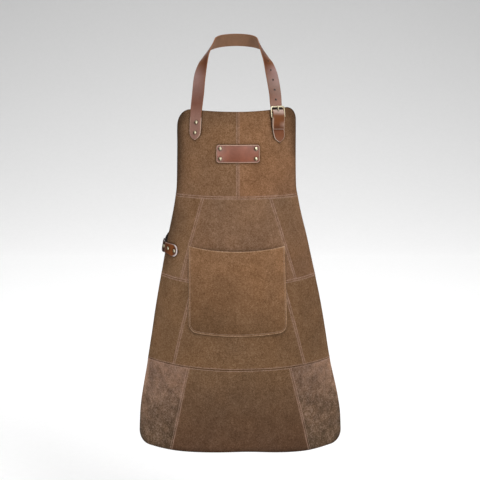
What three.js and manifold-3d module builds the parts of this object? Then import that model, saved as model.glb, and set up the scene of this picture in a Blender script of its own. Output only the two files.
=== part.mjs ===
// Leather bib apron, hung as it is worn. Millimetres, +Z up, the front of the apron faces -Y, left and right
// are the viewer's. The origin is the middle of the neck strap's inner face, at the back of the neck.
import * as THREE from 'three';
import { mergeVertices } from 'three/addons/utils/BufferGeometryUtils.js';
import Module from 'manifold-3d';

const wasm = await Module();
wasm.setup();

// Sheet and strap thicknesses, and the clearances that the pieces keep
const LEATHER = 1.6;
const POCKET_LEATHER = 1.6;
const PATCH_LEATHER = 2.4;
const STRAP_LEATHER = 2.6;
const TAB_LEATHER = 2.2;
const HIP_LEATHER = 2.8;
const WAIST_LEATHER = 2.5;
const SEAM_GAP = 0.4;
const REST_GAP = 0.5;
const INNER_GAP = 0.8;

// Facet sizes: across a panel, down a panel, along a strap
const FACET_ACROSS = 17;
const FACET_DOWN = 23;
const FACET_STRAP = 9;

// Level sections of the worn apron. depth is the centre line's y, radius bends the section round the body,
// half is half of the flat width, sway shifts the section sideways.
const BODY = [
  { z: -150, depth: -160, radius: 215, half: 156, sway: -2.5 },
  { z: -250, depth: -186, radius: 200, half: 157.5, sway: -2.5 },
  { z: -342, depth: -193, radius: 195, half: 160.5, sway: -2.5 },
  { z: -378, depth: -195, radius: 196, half: 168, sway: -2 },
  { z: -480, depth: -202, radius: 215, half: 197, sway: 0 },
  { z: -640, depth: -210, radius: 250, half: 236, sway: 2.4 },
  { z: -775, depth: -213, radius: 272, half: 264, sway: 3.8 },
  { z: -938, depth: -215, radius: 294, half: 301, sway: 5.8 },
  { z: -995, depth: -216, radius: 300, half: 301, sway: 5.8 },
];

// Cut of the bib: top edge on the centre line, place of its seam, and each top corner's rise and radius
const BIB_TOP = -166;
const BIB_SEAM = 3.5;
const BIB_CORNER = { left: { rise: 4.5, radius: 44 }, right: { rise: 9, radius: 30 } };

// Cross seams and hem: height on the centre line, and rise 200 mm out from it.
// The hem's rise levels out past its reach.
const SEAMS = {
  waist: { z: -365.5, rise: 0 },
  middle: { z: -571, rise: 9 },
  low: { z: -776, rise: 1.5 },
  hem: { z: -977, rise: -13, reach: 125 },
};

// Panel rows of the skirt: half widths of the centre panel at its top and bottom seams
const SKIRT = [
  { name: 'upper', top: 'waist', bottom: 'middle', halfTop: 81.5, halfBottom: 147.5 },
  { name: 'lower', top: 'middle', bottom: 'low', halfTop: 110, halfBottom: 169.5 },
  { name: 'hem', top: 'low', bottom: 'hem', halfTop: 126, halfBottom: 179.5 },
];
const HEM_CORNER = { across: 44, up: 28 };

// Patch pocket: place of its middle, half widths, mouth and bottom heights, corner radius, slack of its mouth
const POCKET = {
  s: -2.4, halfTop: 119, halfBottom: 121, top: -483, sag: 8, bottom: -694, corner: 22, slack: 12,
};

// Bare patch on the bib and its rivets
const PATCH = { s: 3.9, z: -262.5, width: 101, height: 41, corner: 6, rivetAcross: 41.7, rivetUp: 11.7 };

// Rivets: dome radius and height, shank radius, back cap radius and height
const RIVET = { dome: 4.3, rise: 2.3, shank: 1.4, cap: 3.8, capHeight: 0.8, sides: 10 };
const RIVET_CLEARANCE = 0.3;
const RIVET_SEAT = 0.2;
const RIVET_BACK = 0.6;

// Neck strap: half width, then its rows. Rows with s lie on the bib at a lift from it, rows with x are free.
// across points over the strap's width, towards the neck.
const STRAP_HALF = 15;
const STRAP_LIFT = REST_GAP + STRAP_LEATHER / 2;
const STRAP_LEFT = [
  { s: -101.8, z: -231.3, lift: STRAP_LIFT, half: 1.5 },
  { s: -101.6, z: -228.3, lift: STRAP_LIFT, half: 6.7 },
  { s: -101.2, z: -223.3, lift: STRAP_LIFT, half: 11.4 },
  { s: -100.6, z: -216.3, lift: STRAP_LIFT, half: 14.3 },
  { s: -99.9, z: -205, lift: STRAP_LIFT, half: STRAP_HALF },
  { s: -98.6, z: -185, lift: STRAP_LIFT, half: STRAP_HALF },
  { s: -97.2, z: -165, lift: STRAP_LIFT, half: STRAP_HALF },
];
const STRAP_ROUND = [
  { x: -93.3, y: -130, z: -126, across: [0.94, -0.34, 0.05] },
  { x: -89, y: -118, z: -84, across: [0.9, -0.43, 0] },
  { x: -82, y: -104, z: -54, across: [0.7, -0.66, 0.16] },
  { x: -75.8, y: -92, z: -37.6, across: [0.5, -0.75, 0.36] },
  { x: -64.5, y: -66, z: -17.8, across: [0.46, -0.54, 0.7] },
  { x: -56.5, y: -38, z: -8.5, across: [0.34, -0.06, 0.94] },
  { x: -38, y: -12, z: -2.5, across: [0.16, -0.1, 0.98] },
  { x: -3, y: 1.3, z: 0, across: [0, -0.1, 1] },
  { x: 32, y: -12, z: -2.5, across: [-0.16, -0.1, 0.98] },
  { x: 50, y: -38, z: -8.5, across: [-0.34, -0.06, 0.94] },
  { x: 57.5, y: -66, z: -18.5, across: [-0.46, -0.54, 0.7] },
  { x: 66.1, y: -92, z: -37.6, across: [-0.56, -0.72, 0.34] },
  { x: 73.5, y: -104, z: -54, across: [-0.74, -0.63, 0.14] },
  { x: 81.6, y: -118, z: -84, across: [-0.93, -0.36, 0] },
  { x: 88.8, y: -131, z: -126, across: [-0.94, -0.34, 0.05] },
];
const STRAP_RIGHT = [
  { s: 95.2, z: -150.5, lift: 2.2, half: STRAP_HALF },
  { s: 96.3, z: -156, lift: 2.2, half: STRAP_HALF },
  { s: 97, z: -159.6, lift: 3.2, half: 14.7 },
  { s: 97.2, z: -161.7, lift: 5.2, half: 14.5 },
  { s: 97.3, z: -163, lift: 7.8, half: 14.5 },
  { s: 97.3, z: -165.2, lift: 10.4, half: 14.7 },
  { s: 97.3, z: -169, lift: 12.2, half: STRAP_HALF },
  { s: 97.6, z: -175, lift: 12.9, half: STRAP_HALF },
  { s: 97.8, z: -181, lift: 12.4, half: STRAP_HALF },
  { s: 98.3, z: -187.5, lift: 11.1, half: STRAP_HALF },
  { s: 99, z: -196, lift: 8.6, half: STRAP_HALF },
  { s: 100, z: -206.8, lift: 7.2, half: STRAP_HALF },
];
const STRAP_RIVETS = [{ s: -96.8, z: -191.9 }, { s: -100.2, z: -215.8 }];
const HOLE = { radius: 1.6, fromEnd: 75.5, pitch: 24.5, count: 5 };

// Buckle: bars at the toe and the heel of the frame, wire radius,
// half width and corner radius of its centre line
const BUCKLE = {
  s: 97, toe: { z: -155, lift: 7 }, heel: { z: -180, lift: 5.2 }, wire: 1.8, half: 17.2, corner: 4,
};
// Prong: ring on the heel bar, rod radius, and the rod's ends along the frame and out from its plane
const PRONG = {
  ring: 3.5, bore: 2.2, width: 4, rod: 1.3, root: { short: 1.5, out: 2.3 }, tip: { past: 2.4, out: 3.6 },
};
const PRONG_SLOT = { width: 5, radius: 6 };
const PRONG_CLEARANCE = 0.35;

// Buckle tab, from its pointed end up to the heel bar, round it and back down under the strap's tail.
// It narrows to go through the frame.
const TAB_HALF = 15;
const TAB_NECK = 13.3;
const TAB_LIFT = REST_GAP + TAB_LEATHER / 2;
const TAB_BACK = [
  { s: 106.3, z: -237.2, lift: TAB_LIFT, half: 1.5 },
  { s: 106.1, z: -234.3, lift: TAB_LIFT, half: 6.2 },
  { s: 105.6, z: -229.8, lift: TAB_LIFT, half: 11.2 },
  { s: 104.9, z: -223.2, lift: TAB_LIFT, half: 14.2 },
  { s: 103.1, z: -212, lift: TAB_LIFT, half: TAB_HALF },
  { s: 100.6, z: -197, lift: TAB_LIFT, half: TAB_HALF },
  { s: 98.8, z: -187.5, lift: 1.7, half: TAB_NECK },
];
const TAB_FOLD = { radius: 3.3, angles: [-25, 5, 35, 65, 95, 125, 155, 185] };
const TAB_FRONT = [
  { s: 97.8, z: -186, lift: 7.7, half: TAB_NECK },
  { s: 98.6, z: -195, lift: 5.3, half: TAB_NECK },
  { s: 99.2, z: -203.5, lift: 4.2, half: TAB_NECK },
];

// Hip tab on the left edge and the waist strap. Rows with s lie on the panels, rows with x are free.
const HIP_HALF = 12.5;
const HIP_LIFT = REST_GAP + HIP_LEATHER / 2;
const HIP_TAB = [
  { s: -157.2, z: -499.6, lift: HIP_LIFT, half: 4 },
  { s: -158.4, z: -499.6, lift: HIP_LIFT, half: 8 },
  { s: -160.8, z: -499.4, lift: HIP_LIFT, half: 11.4 },
  { s: -164.2, z: -499.1, lift: HIP_LIFT, half: 13.6 },
  { s: -168.7, z: -498.6, lift: HIP_LIFT, half: 14.4 },
  { s: -175, z: -497.8, lift: HIP_LIFT, half: 14.2 },
  { s: -186, z: -496.2, lift: HIP_LIFT, half: 13.2 },
  { s: -197, z: -494.9, lift: HIP_LIFT, half: HIP_HALF },
  { x: -177.3, y: -114.6, z: -494.3, half: HIP_HALF, across: [0.09, 0, 1] },
  { x: -180.2, y: -108.8, z: -493.8, half: HIP_HALF, across: [0.1, 0, 1] },
  { x: -181.2, y: -98, z: -493, half: HIP_HALF, across: [0.13, 0, 1] },
  { x: -181.5, y: -86, z: -492, half: HIP_HALF, across: [0.18, 0, 1] },
  { x: -181.7, y: -74, z: -491, half: HIP_HALF, across: [0.2, 0, 1] },
];
const WAIST_HALF = 12.5;
const WAIST_LIFT = -LEATHER - INNER_GAP - WAIST_LEATHER / 2;
const WAIST_STRAP = [
  { s: -161, z: -499, lift: WAIST_LIFT },
  { s: -174, z: -497.6, lift: WAIST_LIFT },
  { s: -187, z: -496, lift: WAIST_LIFT },
  { s: -198, z: -494.6, lift: WAIST_LIFT },
  { x: -173.6, y: -110.6, z: -494.2, across: [0.05, 0, 1] },
  { x: -176, y: -103.3, z: -493.6, across: [0.1, 0, 1] },
  { x: -177.7, y: -95, z: -492.9, across: [0.13, 0, 1] },
  { x: -178.3, y: -85, z: -492, across: [0.18, 0, 1] },
  { x: -178.5, y: -74, z: -491, across: [0.2, 0, 1] },
  { x: -175.5, y: -53, z: -487, across: [0.14, 0, 1] },
  { x: -165, y: -27, z: -479 },
  { x: -142, y: -3, z: -470 },
  { x: -104, y: 16, z: -463 },
  { x: -52, y: 24.5, z: -459.5 },
  { x: 0, y: 26.5, z: -458.5 },
  { x: 48, y: 24.5, z: -460 },
  { x: 95, y: 15, z: -465 },
  { x: 130, y: -5, z: -473 },
  { x: 151, y: -35, z: -481.5 },
  { x: 161, y: -72, z: -488.5 },
  { x: 164.5, y: -105, z: -493 },
  { s: 186, z: -494.5, lift: WAIST_LIFT },
  { s: 174, z: -495.5, lift: WAIST_LIFT },
  { s: 162, z: -496.5, lift: WAIST_LIFT },
  { s: 150, z: -497.5, lift: WAIST_LIFT },
];
const HIP_RIVETS = [{ s: -164.8, z: -499.1 }, { s: -187.2, z: -495.8 }];
const EDGE_RIVET = { x: -176.5, y: -115.6, z: -491.8, reach: 5.5 };

const LOOKS = {
  suede: { color: 0x7e5d44, roughness: 0.95, metalness: 0 },
  suedeHem: { color: 0x75593f, roughness: 0.95, metalness: 0 },
  suedeDark: { color: 0x64492f, roughness: 0.95, metalness: 0 },
  strap: { color: 0x7b4e33, roughness: 0.5, metalness: 0 },
  patch: { color: 0x8a5240, roughness: 0.45, metalness: 0 },
  brass: { color: 0xc1a878, roughness: 0.3, metalness: 1 },
};
const materials = {};
for (const [name, look] of Object.entries(LOOKS)) {
  materials[name] = new THREE.MeshStandardMaterial(look);
}

const apron = new THREE.Group();
apron.name = 'apron';

function place(name, geometry, look) {
  geometry.computeVertexNormals();
  const mesh = new THREE.Mesh(geometry, materials[look]);
  mesh.name = name;
  apron.add(mesh);
  return mesh;
}

// One column of the section table at a height, smooth and with no overshoot between the rows
function column(key, z) {
  const last = BODY.length - 2;
  let i = 0;
  while (i < last && z < BODY[i + 1].z) i += 1;
  const slope = (k) => (BODY[k + 1][key] - BODY[k][key]) / (BODY[k + 1].z - BODY[k].z);
  const tangent = (k) => {
    if (k === 0) return slope(0);
    if (k === last + 1) return slope(last);
    const product = slope(k - 1) * slope(k);
    return product <= 0 ? 0 : (2 * product) / (slope(k - 1) + slope(k));
  };
  const step = BODY[i + 1].z - BODY[i].z;
  const t = (z - BODY[i].z) / step;
  const u = 1 - t;
  const ends = u * u * (1 + 2 * t) * BODY[i][key] + t * t * (3 - 2 * t) * BODY[i + 1][key];
  return ends + step * t * u * (u * tangent(i) - t * tangent(i + 1));
}

// Point of the apron's outer face, s along the level section from the centre line, lifted outwards
function onBody(s, z, lift) {
  const radius = column('radius', z);
  const turn = s / radius;
  const x = column('sway', z) + (radius + lift) * Math.sin(turn);
  const y = column('depth', z) + radius - (radius + lift) * Math.cos(turn);
  return new THREE.Vector3(x, y, z);
}

function alongSection(s, z) {
  return onBody(s + 1, z, 0).sub(onBody(s - 1, z, 0)).normalize();
}

function alongHeight(s, z) {
  return onBody(s, z + 1, 0).sub(onBody(s, z - 1, 0)).normalize();
}

// Direction square to the outer face, and a point at a height from that face
function outward(s, z) {
  return alongSection(s, z).cross(alongHeight(s, z)).normalize();
}

function above(s, z, height) {
  return onBody(s, z, 0).addScaledVector(outward(s, z), height);
}

const seamHeight = (seam, s) => {
  const { z, rise, reach } = SEAMS[seam];
  return z + rise * (reach ? 1 - Math.exp(-((s / reach) ** 2)) : (s / 200) ** 2);
};

// Closed triangle mesh from its corner points and faces, turned so that its faces point out
function closedGeometry(points, faces) {
  let volume = 0;
  for (const [a, b, c] of faces) {
    volume += points[a].dot(points[b].clone().cross(points[c]));
  }
  const geometry = new THREE.BufferGeometry().setFromPoints(points);
  geometry.setIndex(faces.flatMap(([a, b, c]) => (volume > 0 ? [a, b, c] : [a, c, b])));
  return geometry;
}

// Curved sheet between four boundary paths in the flat (s, z) pattern. lifts gives its inner and outer faces.
function sheet({ top, bottom, left, right, side = 1, lifts }) {
  const columns = Math.ceil(Math.max(top.getLength(), bottom.getLength()) / FACET_ACROSS);
  const rows = Math.ceil(Math.max(left.getLength(), right.getLength()) / FACET_DOWN);
  const blend = (a, b, t) => a.clone().lerp(b, t);
  const topLeft = top.getPoint(0);
  const topRight = top.getPoint(1);
  const bottomLeft = bottom.getPoint(0);
  const bottomRight = bottom.getPoint(1);
  const inner = [];
  const outer = [];
  for (let j = 0; j <= rows; j += 1) {
    const v = j / rows;
    for (let i = 0; i <= columns; i += 1) {
      const u = i / columns;
      const p = blend(top.getPoint(u), bottom.getPoint(u), v);
      p.add(blend(left.getPoint(v), right.getPoint(v), u));
      p.sub(blend(blend(topLeft, topRight, u), blend(bottomLeft, bottomRight, u), v));
      const [low, high] = lifts(p.x, p.y);
      inner.push(onBody(side * p.x, p.y, low));
      outer.push(onBody(side * p.x, p.y, high));
    }
  }
  const wide = columns + 1;
  const count = inner.length;
  const faces = [];
  const quad = (a, b, c, d) => faces.push([a, b, c], [a, c, d]);
  for (let j = 0; j < rows; j += 1) {
    for (let i = 0; i < columns; i += 1) {
      const k = j * wide + i;
      quad(count + k, count + k + wide, count + k + wide + 1, count + k + 1);
      quad(k, k + 1, k + wide + 1, k + wide);
    }
  }
  const rim = [];
  for (let i = 0; i < columns; i += 1) rim.push(i);
  for (let j = 0; j < rows; j += 1) rim.push(j * wide + columns);
  for (let i = columns; i > 0; i -= 1) rim.push(rows * wide + i);
  for (let j = rows; j > 0; j -= 1) rim.push(j * wide);
  rim.forEach((a, n) => {
    const b = rim[(n + 1) % rim.length];
    quad(count + a, count + b, b, a);
  });
  return closedGeometry([...inner, ...outer], faces);
}

// Rows of a strap table as points with the direction over the strap's width
function stations(rows, half) {
  return rows.map((row) => {
    const onPanel = row.s !== undefined;
    const at = onPanel ? onBody(row.s, row.z, row.lift) : new THREE.Vector3(row.x, row.y, row.z);
    let across = onPanel ? alongHeight(row.s, row.z) : new THREE.Vector3(0, 0, 1);
    if (row.across) across = new THREE.Vector3(...row.across);
    if (row.level) across = alongSection(row.s, row.z).multiplyScalar(row.level);
    return { at, across: across.normalize(), half: row.half ?? half };
  });
}

// Frames along a strap: smooth through its stations, with its run, width and face directions
function frames(list, spacing) {
  const route = new THREE.CatmullRomCurve3(list.map((p) => p.at), false, 'centripetal');
  const turning = new THREE.CatmullRomCurve3(list.map((p) => p.across), false, 'catmullrom', 0.5);
  const spans = list.length - 1;
  const result = [];
  for (let k = 0; k < spans; k += 1) {
    const steps = Math.max(1, Math.ceil(list[k].at.distanceTo(list[k + 1].at) / spacing));
    const stop = k === spans - 1 ? steps : steps - 1;
    for (let n = 0; n <= stop; n += 1) {
      const t = (k + n / steps) / spans;
      const run = route.getTangent(t);
      const across = turning.getPoint(t).addScaledVector(run, -turning.getPoint(t).dot(run)).normalize();
      const face = across.clone().cross(run).normalize();
      const half = THREE.MathUtils.lerp(list[k].half, list[k + 1].half, n / steps);
      result.push({ at: route.getPoint(t), run, across, face, half });
    }
  }
  return result;
}

// Strap of even thickness, four corners to each frame
function strap(list, thickness) {
  const points = [];
  for (const { at, across, face, half } of list) {
    for (const [w, t] of [[-1, -1], [1, -1], [1, 1], [-1, 1]]) {
      points.push(at.clone().addScaledVector(across, w * half).addScaledVector(face, (t * thickness) / 2));
    }
  }
  const faces = [[0, 1, 2], [0, 2, 3]];
  const end = points.length - 4;
  faces.push([end, end + 2, end + 1], [end, end + 3, end + 2]);
  for (let k = 0; k < end; k += 4) {
    for (let i = 0; i < 4; i += 1) {
      const a = k + i;
      const b = k + ((i + 1) % 4);
      faces.push([a, a + 4, b + 4], [a, b + 4, b]);
    }
  }
  return closedGeometry(points, faces);
}

// Closed loop of round wire through points of one plane, square to the given direction
function wireLoop(loop, square, radius, sides) {
  const points = [];
  const faces = [];
  loop.forEach((at, k) => {
    const before = at.clone().sub(loop[(k + loop.length - 1) % loop.length]).normalize();
    const after = loop[(k + 1) % loop.length].clone().sub(at).normalize();
    const out = before.add(after).cross(square).normalize();
    const next = ((k + 1) % loop.length) * sides;
    for (let i = 0; i < sides; i += 1) {
      const angle = (2 * Math.PI * i) / sides;
      const j = (i + 1) % sides;
      const point = at.clone().addScaledVector(out, radius * Math.cos(angle));
      points.push(point.addScaledVector(square, radius * Math.sin(angle)));
      faces.push([k * sides + i, next + i, next + j], [k * sides + i, next + j, k * sides + j]);
    }
  });
  return closedGeometry(points, faces);
}

function solidOf(geometry) {
  const bare = geometry.clone();
  bare.deleteAttribute('normal');
  bare.deleteAttribute('uv');
  const merged = mergeVertices(bare, 1e-4);
  const vertProperties = new Float32Array(merged.attributes.position.array);
  const triVerts = new Uint32Array(merged.index.array);
  return new wasm.Manifold(new wasm.Mesh({ numProp: 3, vertProperties, triVerts }));
}

function geometryOf(solid) {
  const { vertProperties, triVerts } = solid.getMesh();
  const geometry = new THREE.BufferGeometry();
  geometry.setAttribute('position', new THREE.BufferAttribute(new Float32Array(vertProperties), 3));
  geometry.setIndex(new THREE.BufferAttribute(new Uint32Array(triVerts), 1));
  return geometry;
}

function cut(geometry, tools) {
  let solid = solidOf(geometry);
  for (const tool of tools) solid = solid.subtract(solidOf(tool));
  return geometryOf(solid);
}

// Round bar between two points
function bar(from, to, radius, sides) {
  const along = to.clone().sub(from);
  const geometry = new THREE.CylinderGeometry(radius, radius, along.length(), sides);
  const up = new THREE.Vector3(0, 1, 0);
  const turn = new THREE.Quaternion().setFromUnitVectors(up, along.clone().normalize());
  geometry.applyQuaternion(turn);
  const middle = from.clone().lerp(to, 0.5);
  return geometry.translate(middle.x, middle.y, middle.z);
}

// Rivet seated at a point: its dome stands outwards, its shank goes in by grip to the back cap
function rivet(name, seat, out, grip) {
  const { dome, rise, shank, cap, capHeight, sides } = RIVET;
  const profile = [
    [0, -grip - capHeight], [cap, -grip - capHeight], [cap, -grip], [shank, -grip], [shank, 0], [dome, 0],
    [dome * 0.95, rise * 0.35], [dome * 0.7, rise * 0.72], [dome * 0.36, rise * 0.94], [0, rise],
  ];
  const geometry = new THREE.LatheGeometry(profile.map(([r, h]) => new THREE.Vector2(r, h)), sides);
  const mesh = place(name, geometry, 'brass');
  mesh.position.copy(seat);
  mesh.quaternion.setFromUnitVectors(new THREE.Vector3(0, 1, 0), out);
  const outer = seat.clone().addScaledVector(out, 1);
  const inner = seat.clone().addScaledVector(out, -grip - 1);
  return bar(outer, inner, shank + RIVET_CLEARANCE, 8);
}

const seamPath = (seam, from, to, shift) => {
  const points = [];
  for (let n = 0; n <= 24; n += 1) {
    const s = from + ((to - from) * n) / 24;
    points.push(new THREE.Vector2(s, seamHeight(seam, s) + shift));
  }
  return new THREE.Path(points);
};

const edgePoints = (from, to) => {
  const points = [];
  for (let n = 0; n <= 16; n += 1) {
    const z = from + ((to - from) * n) / 16;
    points.push(new THREE.Vector2(column('half', z), z));
  }
  return points;
};

// Quarter of an ellipse about a centre, in the pattern, between two angles in degrees
const cornerPoints = (centre, across, up, from, to) => {
  const points = [];
  for (let n = 0; n <= 6; n += 1) {
    const angle = THREE.MathUtils.degToRad(from + ((to - from) * n) / 6);
    points.push(new THREE.Vector2(centre.x + across * Math.cos(angle), centre.y + up * Math.sin(angle)));
  }
  return points;
};

const line = (a, b) => new THREE.Path([a, b]);
const panelLifts = () => [-LEATHER, 0];
const half = SEAM_GAP / 2;

// Bib: two halves on the centre seam, each with its top corner
function bib(sideName) {
  const side = sideName === 'left' ? -1 : 1;
  const { rise, radius } = BIB_CORNER[sideName];
  const edge = column('half', BIB_TOP);
  const centre = new THREE.Vector2(edge - radius, BIB_TOP + rise - radius);
  const start = side * BIB_SEAM + half;
  const topEdge = [];
  for (let n = 0; n <= 12; n += 1) {
    const s = start + ((edge - radius - start) * n) / 12;
    topEdge.push(new THREE.Vector2(s, BIB_TOP + rise * (s / (edge - radius)) ** 2));
  }
  const waist = SEAMS.waist.z + half;
  const top = new THREE.Path([...topEdge, ...cornerPoints(centre, radius, radius, 90, 45).slice(1)]);
  const corner = cornerPoints(centre, radius, radius, 45, 0);
  const right = new THREE.Path([...corner, ...edgePoints(centre.y, waist).slice(1)]);
  const bottom = seamPath('waist', start, column('half', waist), half);
  const left = line(top.getPoint(0), bottom.getPoint(0));
  return sheet({ top, bottom, left, right, side, lifts: panelLifts });
}

// Skirt panels of one row
function centrePanel({ top, bottom, halfTop, halfBottom }) {
  const upper = seamPath(top, -halfTop + half, halfTop - half, -half);
  const lower = seamPath(bottom, -halfBottom + half, halfBottom - half, bottom === 'hem' ? 0 : half);
  const left = line(upper.getPoint(0), lower.getPoint(0));
  const right = line(upper.getPoint(1), lower.getPoint(1));
  return sheet({ top: upper, bottom: lower, left, right, lifts: panelLifts });
}

function sidePanel({ top, bottom, halfTop, halfBottom }, side) {
  const outerTop = column('half', seamHeight(top, 200));
  const upper = seamPath(top, halfTop + half, outerTop, -half);
  const startZ = upper.getPoint(1).y;
  let lower;
  let right;
  if (bottom === 'hem') {
    const { across, up } = HEM_CORNER;
    const edge = column('half', SEAMS.hem.z);
    const floor = seamHeight('hem', edge - across);
    const centre = new THREE.Vector2(edge - across, floor + up);
    const along = seamPath('hem', halfBottom + half, edge - across, 0).getPoints();
    lower = new THREE.Path([...along, ...cornerPoints(centre, across, up, 270, 315).slice(1)]);
    const turn = cornerPoints(centre, across, up, 360, 315).slice(1);
    right = new THREE.Path([...edgePoints(startZ, centre.y), ...turn]);
  } else {
    const outerBottom = column('half', seamHeight(bottom, 210));
    lower = seamPath(bottom, halfBottom + half, outerBottom, half);
    right = new THREE.Path([...edgePoints(startZ, lower.getPoint(1).y).slice(0, -1), lower.getPoint(1)]);
  }
  const left = line(upper.getPoint(0), lower.getPoint(0));
  return sheet({ top: upper, bottom: lower, left, right, side, lifts: panelLifts });
}

// Rivets first, because the leather is pierced for their shanks
const patchSeat = REST_GAP + PATCH_LEATHER + RIVET_SEAT;
const patchShanks = { left: [], right: [] };
let number = 0;
for (const up of [1, -1]) {
  for (const across of [-1, 1]) {
    number += 1;
    const s = PATCH.s + across * PATCH.rivetAcross;
    const z = PATCH.z + up * PATCH.rivetUp;
    const grip = patchSeat + LEATHER + RIVET_BACK;
    const shank = rivet(`patch_rivet_${number}`, above(s, z, patchSeat), outward(s, z), grip);
    patchShanks[across < 0 ? 'left' : 'right'].push(shank);
  }
}
const strapSeat = REST_GAP + STRAP_LEATHER + RIVET_SEAT;
const strapShanks = STRAP_RIVETS.map(({ s, z }, n) => {
  const grip = strapSeat + LEATHER + RIVET_BACK;
  return rivet(`neck_rivet_${n + 1}`, above(s, z, strapSeat), outward(s, z), grip);
});
const hipSeat = REST_GAP + HIP_LEATHER + RIVET_SEAT;
const hipShanks = HIP_RIVETS.map(({ s, z }, n) => {
  const grip = hipSeat + LEATHER + INNER_GAP + WAIST_LEATHER + RIVET_BACK;
  return rivet(`hip_rivet_${n + 1}`, above(s, z, hipSeat), outward(s, z), grip);
});

place('bib_left', cut(bib('left'), [...patchShanks.left, ...strapShanks]), 'suede');
place('bib_right', cut(bib('right'), patchShanks.right), 'suede');
for (const row of SKIRT) {
  const isHem = row.name === 'hem';
  const name = (piece) => (isHem ? `hem_${piece}` : `${piece === 'centre' ? 'centre' : 'side'}_${row.name}`);
  const sideName = (side) => (isHem ? `hem_${side}` : `${name('side')}_${side}`);
  place(name('centre'), centrePanel(row), isHem ? 'suedeDark' : 'suede');
  const shanks = row.name === 'upper' ? hipShanks : [];
  place(sideName('left'), cut(sidePanel(row, -1), shanks), isHem ? 'suedeHem' : 'suede');
  place(sideName('right'), sidePanel(row, 1), isHem ? 'suedeHem' : 'suede');
}

// Patch pocket: sewn flat at its sides and bottom, slack at its mouth
function pocket() {
  const { s: middle, halfTop, halfBottom, top, sag, bottom, corner, slack } = POCKET;
  const mouth = [];
  for (let n = 0; n <= 20; n += 1) {
    const aside = halfTop * (n / 10 - 1);
    mouth.push(new THREE.Vector2(middle + aside, top - sag * (1 - (aside / halfTop) ** 2)));
  }
  const reach = halfBottom - corner;
  const leftCentre = new THREE.Vector2(middle - reach, bottom + corner + 4);
  const rightCentre = new THREE.Vector2(middle + reach, bottom + corner + 4);
  const floor = [];
  for (let n = 1; n < 12; n += 1) {
    const aside = reach * (n / 6 - 1);
    floor.push(new THREE.Vector2(middle + aside, bottom + 4 * (aside / reach) ** 2));
  }
  const leftTurn = cornerPoints(leftCentre, corner, corner, 180, 225);
  const rightTurn = cornerPoints(rightCentre, corner, corner, 360, 315);
  const low = [
    ...cornerPoints(leftCentre, corner, corner, 225, 270), ...floor,
    ...cornerPoints(rightCentre, corner, corner, 270, 315),
  ];
  const lifts = (s, z) => {
    const open = Math.max(0, (z - bottom) / (top - bottom));
    const centred = Math.max(0, 1 - ((s - middle) / halfTop) ** 2);
    const low = REST_GAP + slack * Math.sqrt(centred) * open ** 1.5 * centred;
    return [low, low + POCKET_LEATHER];
  };
  return sheet({
    top: new THREE.Path(mouth), bottom: new THREE.Path(low),
    left: new THREE.Path([mouth[0], ...leftTurn]), right: new THREE.Path([mouth[20], ...rightTurn]), lifts,
  });
}
place('pocket', pocket(), 'suede');

// Bib patch with round corners
function patch() {
  const { s, z, width, height, corner } = PATCH;
  const x = width / 2 - corner;
  const y = height / 2 - corner;
  const turn = (dx, dy, from, to) => {
    const points = cornerPoints(new THREE.Vector2(s + dx * x, z + dy * y), corner, corner, from, to);
    return [points[0], points[2], points[4], points[6]];
  };
  return sheet({
    top: new THREE.Path([...turn(-1, 1, 135, 90), ...turn(1, 1, 90, 45)]),
    bottom: new THREE.Path([...turn(-1, -1, 225, 270), ...turn(1, -1, 270, 315)]),
    left: new THREE.Path([...turn(-1, 1, 135, 180), ...turn(-1, -1, 180, 225)]),
    right: new THREE.Path([...turn(1, 1, 45, 0), ...turn(1, -1, 360, 315)]),
    lifts: () => [REST_GAP, REST_GAP + PATCH_LEATHER],
  });
}
place('bib_patch', cut(patch(), [...patchShanks.left, ...patchShanks.right]), 'patch');

// Buckle frame: round wire bent to a rectangle in the plane of its two bars
const toe = onBody(BUCKLE.s, BUCKLE.toe.z, BUCKLE.toe.lift);
const heel = onBody(BUCKLE.s, BUCKLE.heel.z, BUCKLE.heel.lift);
const buckleAcross = alongSection(BUCKLE.s, (BUCKLE.toe.z + BUCKLE.heel.z) / 2);
const buckleDown = heel.clone().sub(toe);
buckleDown.addScaledVector(buckleAcross, -buckleDown.dot(buckleAcross));
const buckleLength = buckleDown.length();
buckleDown.normalize();
const buckleOut = buckleDown.clone().cross(buckleAcross);
const onBuckle = (u, v) => toe.clone().addScaledVector(buckleAcross, u).addScaledVector(buckleDown, v);
const wirePoints = [];
for (const [du, dv, from] of [[1, 1, 0], [-1, 1, 90], [-1, -1, 180], [1, -1, 270]]) {
  const u = du * (BUCKLE.half - BUCKLE.corner);
  const v = dv > 0 ? buckleLength - BUCKLE.corner : BUCKLE.corner;
  for (let n = 0; n <= 3; n += 1) {
    const angle = THREE.MathUtils.degToRad(from + n * 30);
    wirePoints.push(onBuckle(u + BUCKLE.corner * Math.cos(angle), v + BUCKLE.corner * Math.sin(angle)));
  }
}
place('buckle_frame', wireLoop(wirePoints, buckleOut, BUCKLE.wire, 8), 'brass');

// Prong: a ring on the heel bar and a rod through the strap to the toe bar
const heelBar = onBuckle(0, buckleLength);
const rodFrom = onBuckle(0, buckleLength - PRONG.root.short).addScaledVector(buckleOut, PRONG.root.out);
const rodTo = onBuckle(0, -PRONG.tip.past).addScaledVector(buckleOut, PRONG.tip.out);
const halfRing = buckleAcross.clone().multiplyScalar(PRONG.width / 2);
const ringBlank = bar(heelBar.clone().sub(halfRing), heelBar.clone().add(halfRing), PRONG.ring, 14);
const boreLength = halfRing.clone().multiplyScalar(2);
const ringBore = bar(heelBar.clone().sub(boreLength), heelBar.clone().add(boreLength), PRONG.bore, 14);
const rod = solidOf(bar(rodFrom, rodTo, PRONG.rod, 10));
const prong = solidOf(ringBlank).add(rod).subtract(solidOf(ringBore));
place('buckle_prong', geometryOf(prong), 'brass');

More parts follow.
